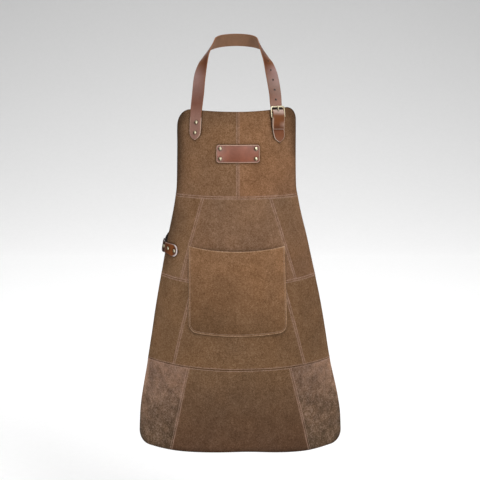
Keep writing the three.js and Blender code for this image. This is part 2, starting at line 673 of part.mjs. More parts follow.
// Buckle tab, slotted for the prong where it goes round the heel bar
const flat = (rows, level) => rows.map((row) => ({ ...row, level }));
const heelUp = alongHeight(BUCKLE.s, BUCKLE.heel.z);
const heelOut = outward(BUCKLE.s, BUCKLE.heel.z);
const fold = TAB_FOLD.angles.map((degrees) => {
  const angle = THREE.MathUtils.degToRad(degrees);
  const at = heelBar.clone().addScaledVector(heelUp, TAB_FOLD.radius * Math.sin(angle));
  at.addScaledVector(heelOut, -TAB_FOLD.radius * Math.cos(angle));
  return { at, across: buckleAcross, half: TAB_NECK };
});
const tabBack = stations(flat(TAB_BACK, 1), TAB_HALF);
const tabFront = stations(flat(TAB_FRONT, 1), TAB_NECK);
const tabRoute = frames([...tabBack, ...fold, ...tabFront], FACET_STRAP);
const slotHalf = buckleAcross.clone().multiplyScalar(PRONG_SLOT.width / 2);
const slot = bar(heelBar.clone().sub(slotHalf), heelBar.clone().add(slotHalf), PRONG_SLOT.radius, 12);
place('buckle_tab', cut(strap(tabRoute, TAB_LEATHER), [slot]), 'strap');

// Neck strap: one length from the riveted end round the neck, through the buckle to its tail
const neckRoute = frames(
  stations([...flat(STRAP_LEFT, 1), ...STRAP_ROUND, ...flat(STRAP_RIGHT, -1)], STRAP_HALF), FACET_STRAP,
);
const holes = [];
let walked = 0;
for (let k = neckRoute.length - 1; k > 0 && holes.length < HOLE.count; k -= 1) {
  const span = neckRoute[k].at.distanceTo(neckRoute[k - 1].at);
  const next = HOLE.fromEnd + holes.length * HOLE.pitch;
  if (walked + span >= next) {
    const at = neckRoute[k].at.clone().lerp(neckRoute[k - 1].at, (next - walked) / span);
    const deep = neckRoute[k].face.clone().multiplyScalar(STRAP_LEATHER);
    holes.push(bar(at.clone().sub(deep), at.clone().add(deep), HOLE.radius, 8));
  }
  walked += span;
}
const prongHole = bar(rodFrom, rodTo, PRONG.rod + PRONG_CLEARANCE, 10);
place('neck_strap', cut(strap(neckRoute, STRAP_LEATHER), [...strapShanks, ...holes, prongHole]), 'strap');

// Hip tab and waist strap, with the rivet that joins them past the panel's edge
const hipRoute = frames(stations(HIP_TAB, HIP_HALF), FACET_STRAP);
const waistRoute = frames(stations(WAIST_STRAP, WAIST_HALF), FACET_STRAP * 1.5);
const edgePoint = new THREE.Vector3(EDGE_RIVET.x, EDGE_RIVET.y, EDGE_RIVET.z);
const nearest = hipRoute.reduce((a, b) => (a.at.distanceTo(edgePoint) < b.at.distanceTo(edgePoint) ? a : b));
const edgeSeat = edgePoint.clone().addScaledVector(nearest.face, HIP_LEATHER / 2 + RIVET_SEAT);
const edgeGrip = HIP_LEATHER / 2 + EDGE_RIVET.reach + WAIST_LEATHER / 2 + RIVET_SEAT + RIVET_BACK;
const edgeShank = rivet('hip_rivet_3', edgeSeat, nearest.face, edgeGrip);
place('hip_tab', cut(strap(hipRoute, HIP_LEATHER), [...hipShanks, edgeShank]), 'strap');
place('waist_strap', cut(strap(waistRoute, WAIST_LEATHER), [...hipShanks, edgeShank]), 'strap');

export default apron;
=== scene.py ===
import math

import bpy
import numpy as np
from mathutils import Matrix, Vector


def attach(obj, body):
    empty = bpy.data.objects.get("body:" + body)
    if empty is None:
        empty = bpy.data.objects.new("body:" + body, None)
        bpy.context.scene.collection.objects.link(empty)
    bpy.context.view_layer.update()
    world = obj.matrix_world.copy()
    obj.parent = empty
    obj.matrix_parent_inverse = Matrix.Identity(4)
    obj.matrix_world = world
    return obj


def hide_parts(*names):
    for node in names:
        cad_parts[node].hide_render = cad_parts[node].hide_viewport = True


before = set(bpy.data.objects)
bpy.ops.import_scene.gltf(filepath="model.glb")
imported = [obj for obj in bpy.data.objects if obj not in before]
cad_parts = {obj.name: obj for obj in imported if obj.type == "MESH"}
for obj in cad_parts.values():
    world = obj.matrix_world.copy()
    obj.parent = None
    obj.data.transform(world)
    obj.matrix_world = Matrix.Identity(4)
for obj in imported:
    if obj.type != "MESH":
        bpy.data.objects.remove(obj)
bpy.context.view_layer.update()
scene = bpy.context.scene
scene.view_settings.view_transform = "Standard"

# Pattern sizes and places are in millimetres in the part's frame: +Z up, the front faces -Y.
# s runs along a level section from the centre line, lift stands out from the leather's outer face.
MM = 0.001
LEATHER = 1.6
GAP = 0.5
SEAM_HALF_GAP = 0.2
SIDES = (("left", -1), ("right", 1))

# Level sections of the worn apron: height, y of the centre line, bend radius, flat half width, side shift
BODY_COLUMNS = ("z", "depth", "radius", "half", "sway")
BODY = np.array([
    (-150, -160, 215, 156, -2.5),
    (-250, -186, 200, 157.5, -2.5),
    (-342, -193, 195, 160.5, -2.5),
    (-378, -195, 196, 168, -2.0),
    (-480, -202, 215, 197, 0.0),
    (-640, -210, 250, 236, 2.4),
    (-775, -213, 272, 264, 3.8),
    (-938, -215, 294, 301, 5.8),
    (-995, -216, 300, 301, 5.8),
])
# Cross seams: height on the centre line, and rise at a distance from it. The hem's levels out past its reach.
SEAMS = {"waist": (-365.5, 0.0), "middle": (-571.0, 9.0), "low": (-776.0, 1.5), "hem": (-977.0, -13.0)}
RISE_AT = 200.0
HEM_REACH = 125.0
# Rows of the skirt: top seam, bottom seam, half widths of the centre panel there
SKIRT = {
    "upper": ("waist", "middle", 81.5, 147.5),
    "lower": ("middle", "low", 110.0, 169.5),
    "hem": ("low", "hem", 126.0, 179.5),
}
BIB_TOP = -166.0
BIB_SEAM = 3.5
# Bib corners: rise of the top edge and radius. Hem corners: reach across and up.
BIB_CORNER = {"left": (4.5, 44.0), "right": (9.0, 30.0)}
HEM_CORNER = (44.0, 28.0)
POCKET = {
    "s": -2.4, "half_top": 119.0, "half_bottom": 121.0, "top": -483.0, "sag": 8.0,
    "bottom": -694.0, "bottom_rise": 4.0, "corner": 22.0, "slack": 5.5,
}
PATCH = {"s": 3.9, "z": -262.5, "width": 101.0, "height": 41.0, "corner": 6.0, "thick": 2.4}
PATCH_RIVET_S, PATCH_RIVET_Z = 41.7, 11.7
PATCH_RIVETS = [
    (PATCH["s"] + a * PATCH_RIVET_S, PATCH["z"] + b * PATCH_RIVET_Z) for b in (1, -1) for a in (-1, 1)
]

# Neck strap: rows of s, z, lift and half width on the bib. Off it, places and directions over the width
STRAP_HALF = 15.0
STRAP_THICK = 2.6
STRAP_LIFT = GAP + STRAP_THICK / 2
STRAP_LEFT = [
    (-101.8, -231.3, STRAP_LIFT, 1.5), (-101.6, -228.3, STRAP_LIFT, 6.7), (-101.2, -223.3, STRAP_LIFT, 11.4),
    (-100.6, -216.3, STRAP_LIFT, 14.3), (-99.9, -205.0, STRAP_LIFT, STRAP_HALF),
    (-98.6, -185.0, STRAP_LIFT, STRAP_HALF), (-97.2, -165.0, STRAP_LIFT, STRAP_HALF),
]
STRAP_ROUND = [
    ((-93.3, -130.0, -126.0), (0.94, -0.34, 0.05)), ((-89.0, -118.0, -84.0), (0.9, -0.43, 0.0)),
    ((-82.0, -104.0, -54.0), (0.7, -0.66, 0.16)), ((-75.8, -92.0, -37.6), (0.5, -0.75, 0.36)),
    ((-64.5, -66.0, -17.8), (0.46, -0.54, 0.7)), ((-56.5, -38.0, -8.5), (0.34, -0.06, 0.94)),
    ((-38.0, -12.0, -2.5), (0.16, -0.1, 0.98)), ((-3.0, 1.3, 0.0), (0.0, -0.1, 1.0)),
    ((32.0, -12.0, -2.5), (-0.16, -0.1, 0.98)), ((50.0, -38.0, -8.5), (-0.34, -0.06, 0.94)),
    ((57.5, -66.0, -18.5), (-0.46, -0.54, 0.7)), ((66.1, -92.0, -37.6), (-0.56, -0.72, 0.34)),
    ((73.5, -104.0, -54.0), (-0.74, -0.63, 0.14)), ((81.6, -118.0, -84.0), (-0.93, -0.36, 0.0)),
    ((88.8, -131.0, -126.0), (-0.94, -0.34, 0.05)),
]
STRAP_RIGHT = [
    (95.2, -150.5, 2.2, STRAP_HALF), (96.3, -156.0, 2.2, STRAP_HALF), (97.0, -159.6, 3.2, 14.7),
    (97.2, -161.7, 5.2, 14.5), (97.3, -163.0, 7.8, 14.5), (97.3, -165.2, 10.4, 14.7),
    (97.3, -169.0, 12.2, STRAP_HALF), (97.6, -175.0, 12.9, STRAP_HALF), (97.8, -181.0, 12.4, STRAP_HALF),
    (98.3, -187.5, 11.1, STRAP_HALF), (99.0, -196.0, 8.6, STRAP_HALF), (100.0, -206.8, 7.2, STRAP_HALF),
]
STRAP_RIVETS = ((-96.8, -191.9), (-100.2, -215.8))
HOLE = {"front": 1.55, "back": 0.45, "from_end": 75.5, "pitch": 24.5, "count": 5}

# Pointed tab: its back part lies on the bib, its front part comes back under the strap's tail
TAB_HALF = 15.0
TAB_NECK = 13.3
TAB_THICK = 2.2
TAB_LIFT = GAP + TAB_THICK / 2
TAB_BACK = [
    (106.3, -237.2, TAB_LIFT, 1.5), (106.1, -234.3, TAB_LIFT, 6.2), (105.6, -229.8, TAB_LIFT, 11.2),
    (104.9, -223.2, TAB_LIFT, 14.2), (103.1, -212.0, TAB_LIFT, TAB_HALF), (100.6, -197.0, TAB_LIFT, TAB_HALF),
    (98.8, -187.5, 1.7, TAB_NECK),
]
TAB_FRONT = [(97.8, -186.0, 7.7, TAB_NECK), (98.6, -195.0, 5.3, TAB_NECK), (99.2, -203.5, 4.2, TAB_NECK)]
TAB_FOLD = 3.3
TAB_SLOT_HALF = 2.5
TAB_SLOT_REACH = 5.0

# Hip tab on the left edge, on the panel and past it
HIP_HALF = 12.5
HIP_THICK = 2.8
HIP_LIFT = GAP + HIP_THICK / 2
HIP_ON_PANEL = [
    (-157.2, -499.6, HIP_LIFT, 4.0), (-158.4, -499.6, HIP_LIFT, 8.0), (-160.8, -499.4, HIP_LIFT, 11.4),
    (-164.2, -499.1, HIP_LIFT, 13.6), (-168.7, -498.6, HIP_LIFT, 14.4), (-175.0, -497.8, HIP_LIFT, 14.2),
    (-186.0, -496.2, HIP_LIFT, 13.2), (-197.0, -494.9, HIP_LIFT, HIP_HALF),
]
HIP_FREE = [
    ((-177.3, -114.6, -494.3), 0.09), ((-180.2, -108.8, -493.8), 0.1), ((-181.2, -98.0, -493.0), 0.13),
    ((-181.5, -86.0, -492.0), 0.18), ((-181.7, -74.0, -491.0), 0.2),
]
HIP_RIVETS = ((-164.8, -499.1), (-187.2, -495.8))
HIP_EDGE_RIVET = (-176.5, -115.6, -491.8)

# Waist strap: s and z of its ends inside the panels, places round the back with the lean of its width
WAIST_HALF = 12.5
WAIST_THICK = 2.5
WAIST_GAP = 0.8
WAIST_LIFT = -LEATHER - WAIST_GAP - WAIST_THICK / 2
WAIST_START = [(-161.0, -499.0), (-174.0, -497.6), (-187.0, -496.0), (-198.0, -494.6)]
WAIST_FREE = [
    ((-173.6, -110.6, -494.2), 0.05), ((-176.0, -103.3, -493.6), 0.1), ((-177.7, -95.0, -492.9), 0.13),
    ((-178.3, -85.0, -492.0), 0.18), ((-178.5, -74.0, -491.0), 0.2), ((-175.5, -53.0, -487.0), 0.14),
    ((-165.0, -27.0, -479.0), 0.0), ((-142.0, -3.0, -470.0), 0.0), ((-104.0, 16.0, -463.0), 0.0),
    ((-52.0, 24.5, -459.5), 0.0), ((0.0, 26.5, -458.5), 0.0), ((48.0, 24.5, -460.0), 0.0),
    ((95.0, 15.0, -465.0), 0.0), ((130.0, -5.0, -473.0), 0.0), ((151.0, -35.0, -481.5), 0.0),
    ((161.0, -72.0, -488.5), 0.0), ((164.5, -105.0, -493.0), 0.0),
]
WAIST_END = [(186.0, -494.5), (174.0, -495.5), (162.0, -496.5), (150.0, -497.5)]

# Camera at the photograph's height and angle, in metres
CAMERA_PLACE = (0.0059, -3.2081, 0.0124)
CAMERA_TILT = math.radians(81.0)
camera_data = bpy.data.cameras.new("camera")
camera_data.lens = 97.2
camera_data.sensor_width = 36.0
camera = bpy.data.objects.new("camera", camera_data)
camera.location = CAMERA_PLACE
camera.rotation_euler = (CAMERA_TILT, 0.0, 0.0)
scene.collection.objects.link(camera)
scene.camera = camera


# Colours, curves and noise

def srgb(*values):
    """Linear colour from screen values of 0 to 255."""
    v = np.array(values, float) / 255
    return np.where(v <= 0.04045, v / 12.92, ((v + 0.055) / 1.055) ** 2.4)


def rgba(colour):
    return (*srgb(*colour), 1.0)


def bell(distance, width):
    return np.exp(-((distance / width) ** 2))


def near(distance, reach):
    """1 up to an edge, and less with the distance past it."""
    return np.exp(-np.maximum(distance, 0) / reach)


def ramp(value, low, high):
    """Share that goes from 0 at low to 1 at high."""
    return np.clip((value - low) / (high - low), 0, 1)


def eased(t):
    return t * t * (3 - 2 * t)


def blend(a, b, share):
    """Colours between a and b, by each point's share of b."""
    share = share[:, None]
    return a * (1 - share) + b * share


def unit(v):
    return v / np.maximum(np.linalg.norm(v, axis=-1, keepdims=True), 1e-12)


def circle(aside, other, sides):
    """Directions round a circle from one direction to another, which may be arrays."""
    turn = np.arange(sides)[:, None] * 2 * math.pi / sides
    return aside[..., None, :] * np.cos(turn) + other[..., None, :] * np.sin(turn)


def monotone(xs, ys, at):
    """Smooth curve through the points with no overshoot between them. xs rise."""
    slopes = np.diff(ys) / np.diff(xs)
    product = slopes[:-1] * slopes[1:]
    total = np.where(product > 0, slopes[:-1] + slopes[1:], 1.0)
    tangents = np.concatenate([slopes[:1], np.where(product > 0, 2 * product / total, 0.0), slopes[-1:]])
    i = np.clip(np.searchsorted(xs, at, side="right") - 1, 0, len(xs) - 2)
    step = xs[i + 1] - xs[i]
    t = (at - xs[i]) / step
    u = 1 - t
    ends = u * u * (1 + 2 * t) * ys[i] + t * t * (3 - 2 * t) * ys[i + 1]
    return ends + step * t * u * (u * tangents[i] - t * tangents[i + 1])


def lattice(i, j, seed):
    h = np.sin(i * 127.1 + j * 311.7 + seed * 74.7) * 43758.5453
    return h - np.floor(h)


def mottle(s, z, size, seed):
    """Smooth noise from -1 to 1, with features of about that size."""
    x, y = s / size + 31.4, z / size + 17.2
    i, j = np.floor(x), np.floor(y)
    u, v = eased(x - i), eased(y - j)
    low = lattice(i, j, seed) * (1 - u) + lattice(i + 1, j, seed) * u
    high = lattice(i, j + 1, seed) * (1 - u) + lattice(i + 1, j + 1, seed) * u
    return 2 * (low * (1 - v) + high * v) - 1


def mottled(s, z, *layers):
    """Sum of smooth noises. Each has its weight, the size of its features and its seed."""
    return sum(weight * mottle(s, z, size, seed) for weight, size, seed in layers)


# Worn form

# Waves of the loose skirt: height, width, phase, slant. Unevenness all over: height, size, seed.
WAVES = ((1.2, 31.0, 0.7, 260.0), (0.5, 18.0, -1.1, -190.0))
WAVES_TOP, WAVES_FULL = -540.0, -980.0
UNEVEN = ((0.5, 75.0, 3), (0.2, 26.0, 5))


def column(key, z):
    return monotone(-BODY[:, 0], BODY[:, BODY_COLUMNS.index(key)], -np.asarray(z, float))


def drape(s, z):
    """How far the worn leather stands out from its plain section."""
    waves = sum(high * np.sin(s / wide + phase + z / slant) for high, wide, phase, slant in WAVES)
    return eased(ramp(z, WAVES_TOP, WAVES_FULL)) * waves + mottled(s, z, *UNEVEN)


def on_body(s, z, lift):
    s, z = np.asarray(s, float), np.asarray(z, float)
    radius = column("radius", z)
    out = radius + lift + drape(s, z)
    x = column("sway", z) + out * np.sin(s / radius)
    y = column("depth", z) + radius - out * np.cos(s / radius)
    return np.stack(np.broadcast_arrays(x, y, z), axis=-1)


def along_section(s, z):
    return unit(on_body(s + 2, z, 0) - on_body(s - 2, z, 0))


def along_height(s, z):
    return unit(on_body(s, z + 2, 0) - on_body(s, z - 2, 0))


def outward(s, z):
    return unit(np.cross(along_section(s, z), along_height(s, z)))


def above(s, z, height):
    return on_body(s, z, 0) + outward(s, z) * height


def seam_height(seam, s):
    z, rise = SEAMS[seam]
    s = np.asarray(s, float)
    return z + rise * (1 - bell(s, HEM_REACH) if seam == "hem" else (s / RISE_AT) ** 2)


def half_width(z):
    return float(column("half", z))


# Node materials

class Shading:
    """A material's node tree, with short calls for the nodes that it needs."""

    def __init__(self, name):
        self.material = bpy.data.materials.new(name)
        self.material.use_nodes = True
        self.tree = self.material.node_tree
        self.shader = self.tree.nodes["Principled BSDF"]
        self.where = self.add("ShaderNodeTexCoord").outputs["Object"]

    def put(self, value, socket):
        """Sets a socket, or links it to another."""
        if isinstance(value, bpy.types.NodeSocket):
            self.tree.links.new(value, socket)
        else:
            socket.default_value = value

    def add(self, kind, inputs=None, **settings):
        node = self.tree.nodes.new(kind)
        for key, value in settings.items():
            setattr(node, key, value)
        for key, value in (inputs or {}).items():
            self.put(value, node.inputs[key])
        return node

    def attribute(self, name, output):
        return self.add("ShaderNodeAttribute", attribute_name=name).outputs[output]

    def noise(self, scale, detail, rough):
        inputs = {"Vector": self.where, "Scale": scale, "Detail": detail, "Roughness": rough}
        return self.add("ShaderNodeTexNoise", inputs).outputs["Fac"]

    def ranged(self, value, low, high, to_low, to_high):
        inputs = {"Value": value, "From Min": low, "From Max": high, "To Min": to_low, "To Max": to_high}
        return self.add("ShaderNodeMapRange", inputs).outputs["Result"]

    def combined(self, operation, first, *others):
        for other in others:
            first = self.add("ShaderNodeMath", {0: first, 1: other}, operation=operation).outputs[0]
        return first

    def times(self, *values):
        return self.combined("MULTIPLY", *values)

    def plus(self, *values):
        return self.combined("ADD", *values)

    def weighted(self, *pairs):
        """Sum of values, each times its weight."""
        return self.plus(*[self.times(value, weight) for value, weight in pairs])

    def mixed(self, share, a, b):
        node = self.add("ShaderNodeMix", data_type="RGBA")
        for value, socket in zip((share, a, b), [x for x in node.inputs if x.enabled]):
            self.put(value, socket)
        return next(x for x in node.outputs if x.enabled)

    def scaled(self, colour, factor):
        return self.add("ShaderNodeVectorMath", {0: colour, "Scale": factor}, operation="SCALE").outputs[0]

    def finish(self, colour, rough, values, relief=None):
        """Gives the shader its values, and relief from a height, a strength and a depth."""
        for key, value in {"Base Color": colour, "Roughness": rough, **values}.items():
            self.put(value, self.shader.inputs[key])
        if relief:
            height, strength, depth = relief
            bump = self.add("ShaderNodeBump", {"Height": height, "Strength": strength, "Distance": depth})
            self.put(bump.outputs["Normal"], self.shader.inputs["Normal"])
        return self.material


# Noise of the suede: scale, detail, roughness, reach from its middle value, how far it lightens and darkens
SUEDE_NOISE = {
    "cloud": (13.0, 4.0, 0.6, 0.2, 0.1),
    "blotch": (55.0, 4.0, 0.6, 0.25, 0.16),
    "grain": (190.0, 3.0, 0.62, 0.25, 0.26),
    "speckle": (420.0, 2.0, 0.55, 0.25, 0.42),
    "nap": (950.0, 2.0, 0.6, 0.25, 0.2),
}
DARK_GRAIN, LIGHT_GRAIN = (1.09, 0.99, 0.86, 1.0), (0.93, 1.005, 1.12, 1.0)
STAIN, SCUFF, SHEEN = (57, 45, 30), (146, 124, 110), (205, 180, 160)
# The third colour is dull brass, for tarnish and for painted shade
PALE_BRASS, DEEP_BRASS, TARNISH_AND_SHADE = (238, 228, 200), (218, 204, 166), (84, 66, 36)
DARK_THREAD, LIGHT_THREAD = (166, 134, 114), (190, 158, 136)


def suede_material():
    """Split leather with a short nap: clouds of brown, fine grain, and rough stains where soil says so."""
    m = Shading("suede")
    soil = m.attribute("soil", "Fac")
    layers, shades = {}, []
    for key, (scale, detail, rough, reach, swing) in SUEDE_NOISE.items():
        layers[key] = m.noise(scale, detail, rough)
        shades.append(m.ranged(layers[key], 0.5 - reach, 0.5 + reach, 1 - swing, 1 + swing))
    _, blotch, grain, speckle, nap = layers.values()
    shade = m.times(*shades)
    tint = m.mixed(m.ranged(shade, 0.5, 1.5, 0.0, 1.0), DARK_GRAIN, LIGHT_GRAIN)
    tone = m.scaled(m.attribute("tone", "Color"), shade)
    colour = m.add("ShaderNodeVectorMath", {0: tone, 1: tint}, operation="MULTIPLY").outputs[0]
    rough = m.weighted((grain, 0.55), (blotch, 0.3), (speckle, 0.55))
    stained = m.ranged(soil, 0.0, 0.1, 0.0, 1.0)
    stain = m.ranged(m.plus(rough, m.times(soil, -0.42)), 0.64, 0.1, 0.0, 0.85)
    colour = m.mixed(m.times(stained, stain), colour, rgba(STAIN))
    scuffed = m.times(stained, m.ranged(rough, 0.72, 0.95, 0.0, 0.5))
    colour = m.mixed(scuffed, colour, rgba(SCUFF))
    values = {
        "Specular IOR Level": 0.12, "Sheen Weight": 0.08, "Sheen Roughness": 0.5, "Sheen Tint": rgba(SHEEN),
    }
    height = m.weighted((nap, 0.5), (speckle, 0.7), (grain, 0.6))
    return m.finish(colour, m.ranged(nap, 0.2, 0.8, 1.0, 0.86), values, (height, 0.5, 0.0007))


def leather_material(name, rough, coat, specular):
    """Smooth dyed leather: cloudy dye, fine pores, and a rougher edge and flesh side where raw says so."""
    m = Shading(name)
    cloud, fine = m.noise(55.0, 4.0, 0.6), m.noise(420.0, 3.0, 0.55)
    pores = m.add("ShaderNodeTexVoronoi", {"Vector": m.where, "Scale": 900.0}, feature="F1")
    shade = m.times(m.ranged(cloud, 0.25, 0.75, 0.86, 1.14), m.ranged(fine, 0.25, 0.75, 0.93, 1.07))
    colour = m.scaled(m.attribute("tone", "Color"), shade)
    gloss = m.ranged(fine, 0.2, 0.8, rough - 0.05, rough + 0.07)
    gloss = m.plus(gloss, m.times(m.attribute("raw", "Fac"), 0.4))
    values = {"Specular IOR Level": specular, "Coat Weight": coat, "Coat Roughness": 0.22}
    height = m.weighted((pores.outputs["Distance"], 0.6), (fine, 0.5))
    return m.finish(colour, gloss, values, (height, 0.22, 0.0004))


def brass_material():
    """Brass, dull and dark where tarnish says so, which holds tarnish and painted shade."""
    m = Shading("brass")
    tarnish = m.attribute("tarnish", "Fac")
    cloud = m.noise(260.0, 3.0, 0.6)
    colour = m.mixed(m.ranged(cloud, 0.35, 0.7, 0.0, 1.0), rgba(PALE_BRASS), rgba(DEEP_BRASS))
    gloss = m.plus(m.ranged(cloud, 0.3, 0.7, 0.34, 0.44), m.times(tarnish, 0.2))
    return m.finish(m.mixed(tarnish, colour, rgba(TARNISH_AND_SHADE)), gloss, {"Metallic": 0.85})


def thread_material():
    m = Shading("thread")
    twist = m.noise(1400.0, 2.0, 0.5)
    tone_shift = m.ranged(m.noise(60.0, 3.0, 0.6), 0.35, 0.65, 0.0, 1.0)
    colour = m.mixed(tone_shift, rgba(DARK_THREAD), rgba(LIGHT_THREAD))
    colour = m.scaled(colour, m.ranged(twist, 0.3, 0.7, 0.85, 1.1))
    return m.finish(colour, m.ranged(twist, 0.3, 0.7, 0.75, 0.9), {}, (twist, 0.5, 0.0003))


SUEDE = suede_material()
STRAP = leather_material("strap_leather", 0.38, 0.06, 0.32)
DULL = leather_material("dull_leather", 0.55, 0.0, 0.12)
GLOSSY = leather_material("patch_leather", 0.34, 0.2, 0.5)
BRASS = brass_material()
THREAD = thread_material()


# Meshes

def piece(name, points, faces, material, slot, replaces=(), **attributes):
    """Makes a smooth mesh from millimetre points, which rides on the part and stands for its solids."""
    mesh = bpy.data.meshes.new(name)
    mesh.from_pydata((np.asarray(points) * MM).tolist(), [], faces)
    for key, values in attributes.items():
        values = np.asarray(values, np.float32)
        if values.ndim == 2:
            colours = np.concatenate([values, np.ones((len(values), 1), np.float32)], axis=1)
            mesh.attributes.new(key, "FLOAT_COLOR", "POINT").data.foreach_set("color", colours.ravel())
        else:
            mesh.attributes.new(key, "FLOAT", "POINT").data.foreach_set("value", values)
    mesh.shade_smooth()
    mesh.materials.append(material)
    mesh.update()
    made = bpy.data.objects.new(name, mesh)
    scene.collection.objects.link(made)
    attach(made, "root")
    if replaces:
        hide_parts(*replaces)
    return made


def tube_faces(rings, sides, closed=False):
    """Quads round a tube of rings of points. A closed one joins its last ring to its first."""
    j, i = (x.ravel() for x in np.indices((rings if closed else rings - 1, sides)))
    k, after = (i + 1) % sides, (j + 1) % rings
    return np.stack([j * sides + i, j * sides + k, after * sides + k, after * sides + i], axis=1).tolist()


def cap_faces(rings, sides):
    return [list(range(sides - 1, -1, -1)), list(range((rings - 1) * sides, rings * sides))]


def joined(parts):
    """Points and faces of several meshes as one."""
    points, faces, total = [], [], 0
    for made, quads in parts:
        points.append(made)
        faces += [[k + total for k in face] for face in quads]
        total += len(made)
    return np.concatenate(points), faces


def steps_of(line):
    return np.concatenate([[0], np.cumsum(np.linalg.norm(np.diff(line, axis=0), axis=1))])


def along_line(at, walked, values):
    """Rows of values at those lengths along a line."""
    return np.stack([np.interp(at, walked, column) for column in np.transpose(values)], axis=-1)


def walk(line, shares):
    """Points at shares of a line's length."""
    steps = steps_of(line)
    return along_line(np.asarray(shares) * steps[-1], steps, line)


def length_of(line):
    return float(steps_of(line)[-1])


# Steps of a sheet's grid from its edges inwards, and its spacing further in
EDGE_STEPS = np.array([0, 0.35, 0.8, 1.3, 1.9, 2.6, 3.4, 4.5, 6.2])
SHEET_SPACING = 3.2
EDGE_BULGE = 0.22


def shares_of(length, spacing):
    """Shares of a length, close together near its ends."""
    first = EDGE_STEPS[-1]
    count = max(2, int(round((length - 2 * first) / spacing)))
    middle = np.linspace(first, length - first, count + 1)[1:-1]
    return np.concatenate([EDGE_STEPS, middle, length - EDGE_STEPS[::-1]]) / length


def distance_to(points, line):
    a, b = line[:-1], line[1:]
    run = b - a
    offset = points[:, None] - a
    t = np.clip((offset * run).sum(-1) / np.maximum((run * run).sum(-1), 1e-9), 0, 1)
    return np.linalg.norm(offset - t[..., None] * run, axis=-1).min(axis=1)


def spread_sheet(top, bottom, left, right, spacing=SHEET_SPACING):
    """Grid of pattern points between four boundary lines, and each point's distance to each of them."""
    u = shares_of(max(length_of(top), length_of(bottom)), spacing)
    v = shares_of(max(length_of(left), length_of(right)), spacing)
    across, down = u[None, :, None], v[:, None, None]
    corners_top = (1 - across) * top[0] + across * top[-1]
    corners_bottom = (1 - across) * bottom[0] + across * bottom[-1]
    grid = (1 - down) * walk(top, u)[None] + down * walk(bottom, u)[None]
    grid = grid + (1 - across) * walk(left, v)[:, None] + across * walk(right, v)[:, None]
    grid = grid - ((1 - down) * corners_top + down * corners_bottom)
    flat = grid.reshape(-1, 2)
    return grid, {key: distance_to(flat, line) for key, line in zip("tblr", (top, bottom, left, right))}


def sheet_solid(grid, side, outer, inner):
    """Points and faces of a sheet with round edges, from the lifts of its faces. Then each point's place in
    the pattern and its layer: 0 on the face, 1 on the inside, 0.5 on the cut edge."""
    rows, columns = grid.shape[:2]
    count = rows * columns
    s, z = side * grid[..., 0].ravel(), grid[..., 1].ravel()
    front, back = on_body(s, z, outer), on_body(s, z, inner)
    index = np.arange(count).reshape(rows, columns)
    rim = np.concatenate([index[0, :-1], index[:-1, -1], index[-1, :0:-1], index[:0:-1, 0]])
    inwards = index[np.clip(np.arange(rows), 1, rows - 2)][:, np.clip(np.arange(columns), 1, columns - 2)]
    step = inwards.ravel()[rim]
    middle = (front[rim] + back[rim]) / 2 + EDGE_BULGE * unit(front[rim] - front[step])
    k = index[:-1, :-1].ravel()
    face = np.stack([k, k + columns, k + columns + 1, k + 1], axis=1)
    n = np.arange(len(rim)) + 2 * count
    after, rim_after = np.roll(n, -1), np.roll(rim, -1)
    bands = [
        np.stack([rim, rim_after, after, n], axis=1),
        np.stack([n, after, count + rim_after, count + rim], axis=1),
    ]
    faces = np.concatenate([face, face[:, ::-1] + count] + bands)
    pattern = np.concatenate([np.arange(count), np.arange(count), rim])
    layer = np.repeat([0, 1, 0.5], [count, count, len(rim)])
    return np.concatenate([front, back, middle]), faces[:, ::side].tolist(), pattern, layer


# Pattern outlines: each is a top, bottom, left and right line

def seam_line(seam, a, b, shift=0.0, count=25):
    s = np.linspace(a, b, count)
    return np.stack([s, seam_height(seam, s) + shift], axis=1)


def edge_line(top, bottom):
    z = np.linspace(top, bottom, 17)
    return np.stack([column("half", z), z], axis=1)


def corner_line(centre, across, up, a, b, count=9):
    turn = np.radians(np.linspace(a, b, count))
    return np.stack([centre[0] + across * np.cos(turn), centre[1] + up * np.sin(turn)], axis=1)


def bib_lines(side_name):
    rise, radius = BIB_CORNER[side_name]
    edge = half_width(BIB_TOP)
    centre = (edge - radius, BIB_TOP + rise - radius)
    start = SEAM_HALF_GAP + (BIB_SEAM if side_name == "right" else -BIB_SEAM)
    s = np.linspace(start, edge - radius, 13)
    straight = np.stack([s, BIB_TOP + rise * (s / (edge - radius)) ** 2], axis=1)
    waist = SEAMS["waist"][0] + SEAM_HALF_GAP
    top = np.concatenate([straight, corner_line(centre, radius, radius, 90, 45)[1:]])
    right = np.concatenate([corner_line(centre, radius, radius, 45, 0), edge_line(centre[1], waist)[1:]])
    bottom = seam_line("waist", start, half_width(waist), SEAM_HALF_GAP)
    return top, bottom, np.stack([top[0], bottom[0]]), right


def centre_lines(row):
    top, bottom, half_top, half_bottom = SKIRT[row]
    g = SEAM_HALF_GAP
    upper = seam_line(top, g - half_top, half_top - g, -g)
    lower = seam_line(bottom, g - half_bottom, half_bottom - g, 0.0 if bottom == "hem" else g)
    return upper, lower, np.stack([upper[0], lower[0]]), np.stack([upper[-1], lower[-1]])


def side_lines(row):
    top, bottom, half_top, half_bottom = SKIRT[row]
    g = SEAM_HALF_GAP
    upper = seam_line(top, half_top + g, half_width(seam_height(top, 200)), -g)
    if bottom == "hem":
        across, up = HEM_CORNER
        start = half_width(SEAMS["hem"][0]) - across
        centre = (start, float(seam_height("hem", start)) + up)
        along = seam_line("hem", half_bottom + g, start)
        lower = np.concatenate([along, corner_line(centre, across, up, 270, 315)[1:]])
        corner = corner_line(centre, across, up, 360, 315)
        right = np.concatenate([edge_line(upper[-1, 1], centre[1]), corner[1:]])
    else:
        lower = seam_line(bottom, half_bottom + g, half_width(seam_height(bottom, 210)), g)
        right = np.concatenate([edge_line(upper[-1, 1], lower[-1, 1])[:-1], lower[-1:]])
    return upper, lower, np.stack([upper[0], lower[0]]), right


